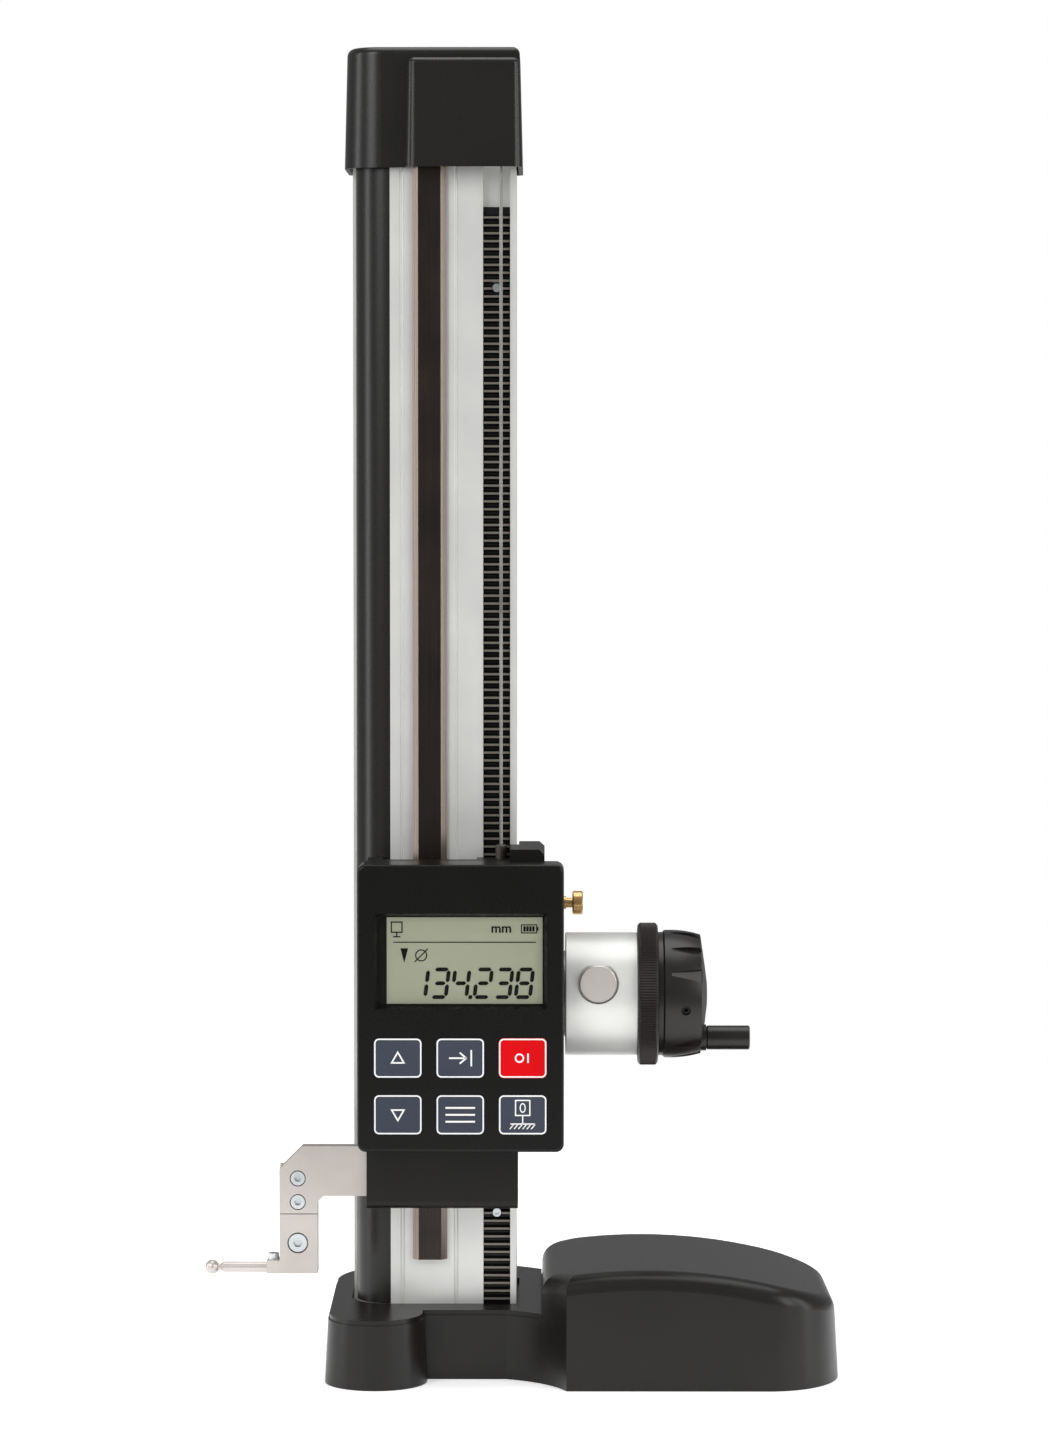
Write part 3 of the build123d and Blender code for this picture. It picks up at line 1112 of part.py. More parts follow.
with BuildPart() as mode_button:
    with BuildSketch(upright(BUTTON_X, button_back_y, BUTTON_Z)):
        Circle(BUTTON_RADIUS)
    extrude(amount=BUTTON_HEIGHT)
    chamfer(mode_button.faces().sort_by(Axis.Y)[0].edges(), BUTTON_EDGE)
    with BuildSketch(upright(BUTTON_X, button_back_y, BUTTON_Z)):
        Circle(BUTTON_STEM_RADIUS)
    extrude(amount=-(BUTTON_STEM_LENGTH - BUTTON_TRAVEL))
keep(mode_button, "mode_button")

with BuildPart() as fine_adjust_ring:
    with BuildSketch(along_x(SLEEVE_END + RING_SIDE_GAP)):
        Circle(RING_RADIUS)
    extrude(amount=RING_WIDTH)
    chamfer(fine_adjust_ring.edges().filter_by(GeomType.CIRCLE), RING_EDGE)
    with BuildSketch(along_x(SLEEVE_END)):
        Circle(SPIGOT_RADIUS + SHAFT_FIT)
    extrude(amount=RING_WIDTH + CUT_SPARE, mode=Mode.SUBTRACT)
keep(fine_adjust_ring, "fine_adjust_ring")

# One grip flute: a wedge that widens and deepens to the right, cut at the front of the wheel
flute_end = WHEEL_CROWN + CUT_SPARE
flute_top = WHEEL_BACK_RADIUS + CUT_SPARE
with BuildPart() as flute:
    with BuildSketch(Plane(origin=(0, AXIS_Y, AXIS_Z), x_dir=(1, 0, 0), z_dir=(0, 0, 1))):
        with BuildLine():
            Polyline(
                (FLUTE_START, -WHEEL_BACK_RADIUS),
                (WHEEL_SHOULDER, -WHEEL_FRONT_RADIUS + FLUTE_DEPTH),
                (flute_end, -WHEEL_FRONT_RADIUS + FLUTE_DEPTH),
                (flute_end, -flute_top),
                (FLUTE_START, -flute_top),
                close=True,
            )
        make_face()
    extrude(amount=FLUTE_HALF_WIDTH, both=True)
    with BuildSketch(upright(0, AXIS_Y, AXIS_Z)):
        with BuildLine():
            Polyline(
                (FLUTE_START, FLUTE_START_WIDTH / 2),
                (flute_end, FLUTE_HALF_WIDTH),
                (flute_end, -FLUTE_HALF_WIDTH),
                (FLUTE_START, -FLUTE_START_WIDTH / 2),
                close=True,
            )
        make_face()
    extrude(amount=flute_top, mode=Mode.INTERSECT)

turning_axis = Axis((0, AXIS_Y, AXIS_Z), (1, 0, 0))
set_screw_plane = Plane(
    origin=(WHEEL_SCREW_X, AXIS_Y, AXIS_Z),
    x_dir=(1, 0, 0),
    z_dir=(0, -cos(radians(WHEEL_SCREW_DROP_ANGLE)), -sin(radians(WHEEL_SCREW_DROP_ANGLE))),
)
grip_z = AXIS_Z - GRIP_OFFSET
with BuildPart() as crank_wheel:
    with BuildSketch(upright(0, AXIS_Y, AXIS_Z)):
        with BuildLine():
            Polyline(
                (WHEEL_CROWN, WHEEL_HUB_RADIUS),
                (WHEEL_CROWN, 0),
                (WHEEL_START, 0),
                (WHEEL_START, WHEEL_BACK_RADIUS - WHEEL_EDGE),
                (WHEEL_START + WHEEL_EDGE, WHEEL_BACK_RADIUS),
            )
            ThreePointArc(
                (WHEEL_START + WHEEL_EDGE, WHEEL_BACK_RADIUS),
                ((WHEEL_START + WHEEL_SHOULDER) / 2, WHEEL_BELLY_RADIUS),
                (WHEEL_SHOULDER, WHEEL_FRONT_RADIUS),
            )
            Polyline(
                (WHEEL_SHOULDER, WHEEL_FRONT_RADIUS),
                (WHEEL_DOME_X, WHEEL_FRONT_RADIUS / 2),
                (WHEEL_CROWN, WHEEL_HUB_RADIUS),
            )
        make_face()
    revolve(axis=turning_axis)
    for flute_angle in FLUTE_ANGLES:
        add(flute.part.rotate(turning_axis, flute_angle), mode=Mode.SUBTRACT)
    with BuildSketch(along_x(GRIP_SEAT_X, AXIS_Y, grip_z)):
        Circle(GRIP_RADIUS + GRIP_PAD_MARGIN)
    extrude(amount=-GRIP_PIN_DEPTH)
    with BuildSketch(along_x(WHEEL_START)):
        Circle(SHAFT_RADIUS)
    extrude(amount=SHAFT_END - WHEEL_START, mode=Mode.SUBTRACT)
    with BuildSketch(set_screw_plane):
        Circle(WHEEL_SCREW_RADIUS)
    extrude(amount=WHEEL_BACK_RADIUS + CUT_SPARE, mode=Mode.SUBTRACT)
    with BuildSketch(along_x(GRIP_SEAT_X, AXIS_Y, grip_z)):
        Circle(GRIP_PIN_RADIUS)
    extrude(amount=-GRIP_PIN_DEPTH, mode=Mode.SUBTRACT)
keep(crank_wheel, "crank_wheel")

with BuildPart() as wheel_set_screw:
    with BuildSketch(set_screw_plane.offset(SHAFT_RADIUS)):
        Circle(WHEEL_SCREW_RADIUS)
    extrude(amount=WHEEL_SCREW_TIP_RADIUS - SHAFT_RADIUS)
    with BuildSketch(set_screw_plane.offset(WHEEL_SCREW_TIP_RADIUS)):
        RegularPolygon(WHEEL_SCREW_RADIUS / 2, 6)
    extrude(amount=-WHEEL_SCREW_RADIUS, mode=Mode.SUBTRACT)
keep(wheel_set_screw, "wheel_set_screw")

with BuildPart() as drive_shaft:
    with BuildSketch(along_x(SHAFT_START)):
        Circle(SHAFT_RADIUS)
    extrude(amount=SHAFT_END - SHAFT_START)
    chamfer(drive_shaft.edges().filter_by(GeomType.CIRCLE), SHAFT_RADIUS / 8)
keep(drive_shaft, "drive_shaft")

# Drive pinion with involute flanks, one tooth pointing into the rack
base_radius = PITCH_RADIUS * cos(radians(PRESSURE_ANGLE))
outer_radius = PITCH_RADIUS + ADDENDUM
root_radius = PITCH_RADIUS - DEDENDUM
tooth_step = 2 * pi / PINION_TEETH


def involute(angle):
    """The involute function of a pressure angle in radians."""
    return tan(angle) - angle


def half_tooth_angle(radius):
    """Half of a tooth's angle at a radius, thinned for play at its flanks."""
    half_at_pitch = pi / (2 * PINION_TEETH) - FLANK_PLAY / PITCH_RADIUS
    roll = involute(acos(base_radius / max(radius, base_radius)))
    return half_at_pitch + involute(radians(PRESSURE_ANGLE)) - roll


def polar(radius, angle):
    """A point across the pinion, from the rack's direction round towards the top."""
    return (radius * cos(angle), radius * sin(angle))


flank_step = (outer_radius - base_radius) / FLANK_STEPS
flank_radii = [base_radius + flank_step * step for step in range(FLANK_STEPS + 1)]
with BuildPart() as drive_pinion:
    with BuildSketch(along_x(RACK_X - PINION_WIDTH / 2)):
        with BuildLine():
            for tooth in range(PINION_TEETH):
                middle = tooth * tooth_step
                rising = [polar(radius, middle - half_tooth_angle(radius)) for radius in flank_radii]
                falling = [polar(radius, middle + half_tooth_angle(radius)) for radius in flank_radii[::-1]]
                foot = half_tooth_angle(base_radius)
                root_start = polar(root_radius, middle + foot)
                root_end = polar(root_radius, middle + tooth_step - foot)
                Line(polar(root_radius, middle - foot), rising[0])
                Spline(*rising)
                ThreePointArc(rising[-1], polar(outer_radius, middle), falling[0])
                Spline(*falling)
                Line(falling[-1], root_start)
                ThreePointArc(root_start, polar(root_radius, middle + tooth_step / 2), root_end)
        make_face()
        Circle(SHAFT_RADIUS, mode=Mode.SUBTRACT)
    extrude(amount=PINION_WIDTH)
keep(drive_pinion, "drive_pinion")

with BuildPart() as grip_pin:
    with BuildSketch(along_x(GRIP_SEAT_X - GRIP_PIN_DEPTH, AXIS_Y, grip_z)):
        Circle(GRIP_PIN_RADIUS)
    extrude(amount=GRIP_END - GRIP_PIN_SINK - GRIP_SEAT_X + GRIP_PIN_DEPTH)
    with BuildSketch(along_x(GRIP_END - GRIP_PIN_SINK, AXIS_Y, grip_z)):
        Circle(GRIP_PIN_HEAD_RADIUS)
    extrude(amount=-GRIP_PIN_HEAD_HEIGHT)
keep(grip_pin, "grip_pin")

with BuildPart() as crank_grip:
    with BuildSketch(along_x(GRIP_SEAT_X + GRIP_END_GAP, AXIS_Y, grip_z)):
        Circle(GRIP_RADIUS)
    extrude(amount=GRIP_END - GRIP_SEAT_X - GRIP_END_GAP)
    chamfer(crank_grip.edges().filter_by(GeomType.CIRCLE), GRIP_EDGE)
    with BuildSketch(along_x(GRIP_SEAT_X, AXIS_Y, grip_z)):
        Circle(GRIP_PIN_RADIUS + SHAFT_FIT)
    extrude(amount=GRIP_END - GRIP_SEAT_X, mode=Mode.SUBTRACT)
    with BuildSketch(along_x(GRIP_END, AXIS_Y, grip_z)):
        Circle(GRIP_PIN_HEAD_RADIUS + SHAFT_FIT)
    extrude(amount=-(GRIP_PIN_SINK + GRIP_PIN_HEAD_HEIGHT + GRIP_END_GAP), mode=Mode.SUBTRACT)
keep(crank_grip, "crank_grip")

# Clamp: a brass screw in the ear that presses a shoe on the column's side
shoe_start = COLUMN_SIDE + SHOE_REST_GAP
clamp_tip_x = shoe_start + SHOE_LENGTH + CLAMP_TIP_GAP
with BuildPart() as clamp_shoe:
    with BuildSketch(along_x(shoe_start, CLAMP_Y, CLAMP_Z)):
        Circle(SHOE_RADIUS)
    extrude(amount=SHOE_LENGTH)
keep(clamp_shoe, "clamp_shoe")

with BuildPart() as clamp_screw:
    with BuildSketch(along_x(clamp_tip_x, CLAMP_Y, CLAMP_Z)):
        Circle(CLAMP_STEM_RADIUS)
    extrude(amount=CLAMP_HEAD_X[0] - clamp_tip_x)
    with BuildSketch(along_x(CLAMP_COLLAR_X[0], CLAMP_Y, CLAMP_Z)):
        Circle(CLAMP_COLLAR_RADIUS)
    extrude(amount=CLAMP_COLLAR_X[1] - CLAMP_COLLAR_X[0])
    with BuildSketch(along_x(CLAMP_HEAD_X[0], CLAMP_Y, CLAMP_Z)):
        Circle(CLAMP_HEAD_RADIUS)
    extrude(amount=CLAMP_HEAD_X[1] - CLAMP_HEAD_X[0])
    head_edges = clamp_screw.edges().filter_by(GeomType.CIRCLE)
    chamfer(head_edges.filter_by(lambda edge: edge.radius > CLAMP_COLLAR_RADIUS), CLAMP_HEAD_EDGE)
keep(clamp_screw, "clamp_screw")

# Probe arm: a bracket plate that leaves the carriage to the left and turns down
arm_front_y = ARM_Y - ARM_THICKNESS / 2
arm_rear_y = ARM_Y + ARM_THICKNESS / 2
with BuildPart() as probe_arm:
    with BuildSketch(upright(0, arm_rear_y, 0)):
        with BuildLine():
            Polyline(
                (ARM_RIGHT, ARM_TOP_Z),
                (ARM_LEFT + ARM_CORNER, ARM_TOP_Z),
                (ARM_LEFT, ARM_TOP_Z - ARM_CORNER),
                (ARM_LEFT, ARM_LEG_FOOT_Z),
                (ARM_LEG_RIGHT, ARM_LEG_FOOT_Z),
                (ARM_LEG_RIGHT, ARM_UNDER_Z - ARM_INNER_CORNER),
                (ARM_LEG_RIGHT + ARM_INNER_CORNER, ARM_UNDER_Z),
                (ARM_RIGHT, ARM_UNDER_Z),
                close=True,
            )
        make_face()
    extrude(amount=ARM_THICKNESS)
    for screw_z in BRACKET_SCREW_Z:
        with BuildSketch(upright(BRACKET_SCREW_X, arm_rear_y, screw_z)):
            Circle(BRACKET_SCREW_SHANK)
        extrude(amount=ARM_THICKNESS, mode=Mode.SUBTRACT)
        with BuildSketch(upright(BRACKET_SCREW_X, arm_front_y, screw_z)):
            Circle(BRACKET_SCREW_BORE)
        extrude(amount=-BRACKET_BORE_DEPTH, mode=Mode.SUBTRACT)
    for screw_z in ARM_SCREW_Z:
        with BuildSketch(upright(ARM_SCREW_X, arm_rear_y, screw_z)):
            Circle(CARRIAGE_SCREW_RADIUS)
        extrude(amount=ARM_THICKNESS / 2, mode=Mode.SUBTRACT)
keep(probe_arm, "probe_arm")

# Probe holder: a block under the arm's leg with a tongue behind the leg and a toe for the stylus
holder_depth = HOLDER_REAR_Y - arm_front_y
stylus_y = (HOLDER_REAR_Y + arm_front_y) / 2
with BuildPart() as probe_holder:
    with BuildSketch(upright(0, HOLDER_REAR_Y, 0)):
        with BuildLine():
            Polyline(
                (ARM_LEG_RIGHT, HOLDER_TOP_Z),
                (ARM_LEFT, HOLDER_TOP_Z),
                (ARM_LEFT, HOLDER_TOE_Z),
                (HOLDER_TOE_X, HOLDER_TOE_Z),
                (HOLDER_TOE_X, HOLDER_FOOT_Z),
                (ARM_LEG_RIGHT, HOLDER_FOOT_Z),
                close=True,
            )
        make_face()
    extrude(amount=holder_depth)
    with BuildSketch(upright(ARM_LEFT, HOLDER_REAR_Y, HOLDER_TOP_Z)):
        Rectangle(ARM_LEG_RIGHT - ARM_LEFT, TONGUE_TOP_Z - HOLDER_TOP_Z, align=(Align.MIN, Align.MIN))
    extrude(amount=HOLDER_REAR_Y - arm_rear_y)
    for screw_z in BRACKET_SCREW_Z:
        with BuildSketch(upright(BRACKET_SCREW_X, HOLDER_REAR_Y, screw_z)):
            Circle(BRACKET_SCREW_SHANK)
        extrude(amount=HOLDER_REAR_Y - arm_rear_y, mode=Mode.SUBTRACT)
    with BuildSketch(upright(BRACKET_SCREW_X, arm_front_y, CLAMP_BOLT_Z)):
        Circle(CLAMP_BOLT_BORE)
    extrude(amount=-BRACKET_BORE_DEPTH, mode=Mode.SUBTRACT)
    with BuildSketch(upright(BRACKET_SCREW_X, arm_front_y, CLAMP_BOLT_Z)):
        Circle(CLAMP_BOLT_SHANK)
    extrude(amount=-(BRACKET_BORE_DEPTH + CLAMP_BOLT_GRIP), mode=Mode.SUBTRACT)
    with BuildSketch(along_x(HOLDER_TOE_X, stylus_y, STYLUS_Z)):
        Circle(STYLUS_STUD_RADIUS)
    extrude(amount=STYLUS_STUD_LENGTH, mode=Mode.SUBTRACT)
    with BuildSketch(Plane(origin=(STYLUS_SCREW_X, stylus_y, HOLDER_TOE_Z))):
        Circle(STYLUS_STUD_RADIUS)
    extrude(amount=STYLUS_Z - HOLDER_TOE_Z, mode=Mode.SUBTRACT)
keep(probe_holder, "probe_holder")

with BuildPart() as holder_screws:
    for screw_z in BRACKET_SCREW_Z:
        seat = upright(BRACKET_SCREW_X, arm_front_y + BRACKET_BORE_DEPTH, screw_z)
        grip = HOLDER_REAR_Y - arm_front_y - BRACKET_BORE_DEPTH
        add(socket_screw(seat, BRACKET_SCREW_HEAD, BRACKET_BORE_DEPTH, BRACKET_SCREW_SHANK, grip))
keep(holder_screws, "holder_screws")

with BuildPart() as probe_clamp_screw:
    seat = upright(BRACKET_SCREW_X, arm_front_y + BRACKET_BORE_DEPTH, CLAMP_BOLT_Z)
    add(socket_screw(seat, CLAMP_BOLT_HEAD, BRACKET_BORE_DEPTH, CLAMP_BOLT_SHANK, CLAMP_BOLT_GRIP))
keep(probe_clamp_screw, "probe_clamp_screw")

ball_start = BALL_X + sqrt(BALL_RADIUS**2 - BALL_NECK_RADIUS**2)
with BuildPart() as stylus:
    with BuildSketch(upright(0, stylus_y, STYLUS_Z)):
        with BuildLine():
            Polyline(
                (BALL_X - BALL_RADIUS, 0),
                (HOLDER_TOE_X + STYLUS_STUD_LENGTH, 0),
                (HOLDER_TOE_X + STYLUS_STUD_LENGTH, STYLUS_STUD_RADIUS),
                (HOLDER_TOE_X, STYLUS_STUD_RADIUS),
                (HOLDER_TOE_X, STYLUS_RADIUS),
                (STYLUS_TIP_X + STYLUS_TAPER, STYLUS_RADIUS),
                (STYLUS_TIP_X, BALL_NECK_RADIUS),
                (ball_start, BALL_NECK_RADIUS),
            )
            ThreePointArc(
                (ball_start, BALL_NECK_RADIUS), (BALL_X, BALL_RADIUS), (BALL_X - BALL_RADIUS, 0)
            )
        make_face()
    revolve(axis=Axis((0, stylus_y, STYLUS_Z), (1, 0, 0)))
keep(stylus, "stylus")

with BuildPart() as stylus_set_screw:
    seat = Plane(origin=(STYLUS_SCREW_X, stylus_y, HOLDER_TOE_Z))
    grip = HOLDER_TOE_Z - STYLUS_Z - STYLUS_STUD_RADIUS
    add(socket_screw(seat, STYLUS_SCREW_HEAD, STYLUS_SCREW_HEIGHT, STYLUS_STUD_RADIUS, grip))
keep(stylus_set_screw, "stylus_set_screw")
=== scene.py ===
import json
import math

import bpy
from mathutils import Matrix, Vector


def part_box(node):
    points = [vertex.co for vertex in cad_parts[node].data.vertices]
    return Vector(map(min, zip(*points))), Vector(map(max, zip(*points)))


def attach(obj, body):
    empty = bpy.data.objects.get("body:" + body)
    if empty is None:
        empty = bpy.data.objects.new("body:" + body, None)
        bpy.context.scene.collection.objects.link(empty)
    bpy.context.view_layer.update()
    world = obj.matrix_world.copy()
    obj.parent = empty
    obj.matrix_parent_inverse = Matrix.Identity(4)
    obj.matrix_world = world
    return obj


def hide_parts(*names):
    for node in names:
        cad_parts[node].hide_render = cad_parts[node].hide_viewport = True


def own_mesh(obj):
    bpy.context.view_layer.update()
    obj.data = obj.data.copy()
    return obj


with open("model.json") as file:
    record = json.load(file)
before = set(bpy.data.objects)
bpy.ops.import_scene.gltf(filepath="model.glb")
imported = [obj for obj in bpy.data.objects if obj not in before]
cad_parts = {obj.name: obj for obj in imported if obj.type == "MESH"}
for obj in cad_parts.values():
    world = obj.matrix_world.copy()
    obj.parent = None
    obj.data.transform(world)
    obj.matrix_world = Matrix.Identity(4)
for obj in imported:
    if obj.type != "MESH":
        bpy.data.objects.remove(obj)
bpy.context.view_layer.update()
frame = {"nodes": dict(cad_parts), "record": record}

MM = 0.001
SUBPARTS = {entry["node"]: entry["material_slot"] for entry in frame["record"]["subparts"]}


# Bench work: selecting, placing and finishing a piece


def clear_selection():
    """Nothing selected and nothing active in object mode."""
    if bpy.context.object and bpy.context.object.mode != "OBJECT":
        bpy.ops.object.mode_set(mode="OBJECT")
    bpy.ops.object.select_all(action="DESELECT")


def pick(*pieces):
    """Only these pieces selected, the first one active."""
    clear_selection()
    for piece in pieces:
        piece.select_set(True)
    bpy.context.view_layer.objects.active = pieces[0]


def apply_place(piece):
    """The piece's place, turn and size go into its mesh."""
    pick(piece)
    bpy.ops.object.transform_apply(location=True, rotation=True, scale=True)


def join_pieces(pieces):
    """Several pieces made one."""
    for piece in pieces:
        apply_place(piece)
    pick(*pieces)
    bpy.ops.object.join()
    return bpy.context.object


def settle(piece, name, body, material, smooth=None):
    """A finished piece gets its name, finish and body."""
    apply_place(piece)
    piece.name = name
    piece.data.name = name
    piece.data.materials.clear()
    piece.data.materials.append(material)
    if smooth is not None:
        pick(piece)
        bpy.ops.object.shade_smooth_by_angle(angle=math.radians(smooth))
    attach(piece, body)
    return piece


def apply_modifiers(piece):
    """Every modifier on the piece is applied."""
    pick(piece)
    for modifier in list(piece.modifiers):
        bpy.ops.object.modifier_apply(modifier=modifier.name)


def thicken(piece, depth):
    """A flat face gets a thickness behind it."""
    solid = piece.modifiers.new("depth", "SOLIDIFY")
    solid.thickness = depth
    solid.offset = -1
    apply_modifiers(piece)


# Shared effects

NOISE_LOW, NOISE_HIGH = 0.3, 0.7
PATCH_SCALE = 30.0
RELIEF_DEPTH = 0.2 * MM


def effect(name, numbers, results):
    """An empty shader group with number inputs and number results."""
    group = bpy.data.node_groups.new(name, "ShaderNodeTree")
    for label, start in numbers.items():
        socket = group.interface.new_socket(name=label, in_out="INPUT", socket_type="NodeSocketFloat")
        socket.default_value = start
    for label in results:
        group.interface.new_socket(name=label, in_out="OUTPUT", socket_type="NodeSocketFloat")
    group.nodes.new("NodeGroupInput")
    group.nodes.new("NodeGroupOutput")
    return group


def wire_up(tree, start, start_socket, end, end_socket):
    """A link between two named sockets."""
    tree.links.new(start.outputs[start_socket], end.inputs[end_socket])


def make_mottle():
    """Broad patches of tone, and a fine grain over them."""
    group = effect("mottle", {"Patch Scale": PATCH_SCALE, "Grain Scale": 900.0}, ("Patches", "Grain"))
    start, end = group.nodes["Group Input"], group.nodes["Group Output"]
    place = group.nodes.new("ShaderNodeTexCoord")
    patches = group.nodes.new("ShaderNodeTexNoise")
    patches.inputs["Detail"].default_value = 3.0
    spread = group.nodes.new("ShaderNodeMapRange")
    spread.inputs["From Min"].default_value = NOISE_LOW
    spread.inputs["From Max"].default_value = NOISE_HIGH
    grain = group.nodes.new("ShaderNodeTexNoise")
    grain.inputs["Detail"].default_value = 2.0
    wire_up(group, place, "Object", patches, "Vector")
    wire_up(group, place, "Object", grain, "Vector")
    wire_up(group, start, "Patch Scale", patches, "Scale")
    wire_up(group, start, "Grain Scale", grain, "Scale")
    wire_up(group, patches, "Fac", spread, "Value")
    wire_up(group, spread, "Result", end, "Patches")
    wire_up(group, grain, "Fac", end, "Grain")
    return group


def make_brushing():
    """Fine lines left by a tool, drawn out along the direction whose number is small."""
    group = effect("brushing", {"Across X": 900.0, "Across Y": 900.0, "Across Z": 20.0}, ("Lines",))
    start, end = group.nodes["Group Input"], group.nodes["Group Output"]
    place = group.nodes.new("ShaderNodeTexCoord")
    stretch = group.nodes.new("ShaderNodeVectorMath")
    stretch.operation = "MULTIPLY"
    scales = group.nodes.new("ShaderNodeCombineXYZ")
    lines = group.nodes.new("ShaderNodeTexNoise")
    lines.inputs["Scale"].default_value = 1.0
    lines.inputs["Detail"].default_value = 4.0
    wire_up(group, start, "Across X", scales, "X")
    wire_up(group, start, "Across Y", scales, "Y")
    wire_up(group, start, "Across Z", scales, "Z")
    wire_up(group, place, "Object", stretch, 0)
    wire_up(group, scales, "Vector", stretch, 1)
    wire_up(group, stretch, "Vector", lines, "Vector")
    wire_up(group, lines, "Fac", end, "Lines")
    return group


MOTTLE = make_mottle()
BRUSHING = make_brushing()


def linear(code):
    """A screen colour such as 2a2622 as linear red, green, blue and alpha."""
    parts = [int(code[i:i + 2], 16) / 255 for i in (0, 2, 4)]
    return [p / 12.92 if p <= 0.04045 else ((p + 0.055) / 1.055) ** 2.4 for p in parts] + [1.0]


def finish(name, tone, worn_tone, rough, metallic=0.0, grain=900.0, bump=0.1, lines=None, gloss=0.5):
    """A surface: two tones in patches, roughness over a range, and a grain or drawn lines in its relief.

    Lines hold how fine the drawn lines are across X, Y and Z, and gloss how strongly the surface mirrors.
    """
    material = bpy.data.materials.new(name)
    material.use_nodes = True
    tree = material.node_tree
    shader = tree.nodes["Principled BSDF"]
    shader.inputs["Metallic"].default_value = metallic
    shader.inputs["Specular IOR Level"].default_value = gloss
    mottle = tree.nodes.new("ShaderNodeGroup")
    mottle.node_tree = MOTTLE
    mottle.inputs["Grain Scale"].default_value = grain
    tones = tree.nodes.new("ShaderNodeMix")
    tones.data_type = "RGBA"
    tones.inputs["A"].default_value = linear(tone)
    tones.inputs["B"].default_value = linear(worn_tone)
    wire_up(tree, mottle, "Patches", tones, "Factor")
    tree.links.new(tones.outputs["Result"], shader.inputs["Base Color"])
    relief, relief_socket = mottle, "Grain"
    if lines:
        brushing = tree.nodes.new("ShaderNodeGroup")
        brushing.node_tree = BRUSHING
        for label, value in zip(("Across X", "Across Y", "Across Z"), lines):
            brushing.inputs[label].default_value = value
        relief, relief_socket = brushing, "Lines"
    roughness = tree.nodes.new("ShaderNodeMapRange")
    roughness.inputs["From Min"].default_value = NOISE_LOW
    roughness.inputs["From Max"].default_value = NOISE_HIGH
    roughness.inputs["To Min"].default_value = rough[0]
    roughness.inputs["To Max"].default_value = rough[1]
    wire_up(tree, relief, relief_socket, roughness, "Value")
    wire_up(tree, roughness, "Result", shader, "Roughness")
    bumps = tree.nodes.new("ShaderNodeBump")
    bumps.inputs["Strength"].default_value = bump
    bumps.inputs["Distance"].default_value = RELIEF_DEPTH
    wire_up(tree, relief, relief_socket, bumps, "Height")
    wire_up(tree, bumps, "Normal", shader, "Normal")
    return material


WINDOW_VEIL = 0.08


def clear_window():
    """Clear acrylic, which veils the screen a little."""
    material = finish("window_acrylic", "2c2e28", "33352e", (0.03, 0.06), bump=0.01, gloss=0.3)
    material.node_tree.nodes["Principled BSDF"].inputs["Alpha"].default_value = WINDOW_VEIL
    return material


def paint_highlight_band(material, tone, low, high):
    """A painted highlight: a bright tone over the part of a surface between two depths, where light catches
    it.
    """
    tree = material.node_tree
    shader = tree.nodes["Principled BSDF"]
    under = shader.inputs["Base Color"].links[0].from_socket
    place = tree.nodes.new("ShaderNodeTexCoord")
    split = tree.nodes.new("ShaderNodeSeparateXYZ")
    highlight_band = tree.nodes.new("ShaderNodeMath")
    highlight_band.operation = "COMPARE"
    highlight_band.inputs[1].default_value = (low + high) / 2
    highlight_band.inputs[2].default_value = (high - low) / 2
    highlight_mix = tree.nodes.new("ShaderNodeMix")
    highlight_mix.data_type = "RGBA"
    highlight_mix.inputs["B"].default_value = linear(tone)
    wire_up(tree, place, "Object", split, "Vector")
    wire_up(tree, split, "Y", highlight_band, 0)
    wire_up(tree, highlight_band, "Value", highlight_mix, "Factor")
    tree.links.new(under, highlight_mix.inputs["A"])
    tree.links.new(highlight_mix.outputs["Result"], shader.inputs["Base Color"])


def oiled_steel():
    """Dark oiled steel of the rack, the counterweight and the set screw."""
    return finish("black_steel", "161616", "202021", (0.30, 0.45), 0.4, grain=1500, bump=0.06, gloss=0.3)


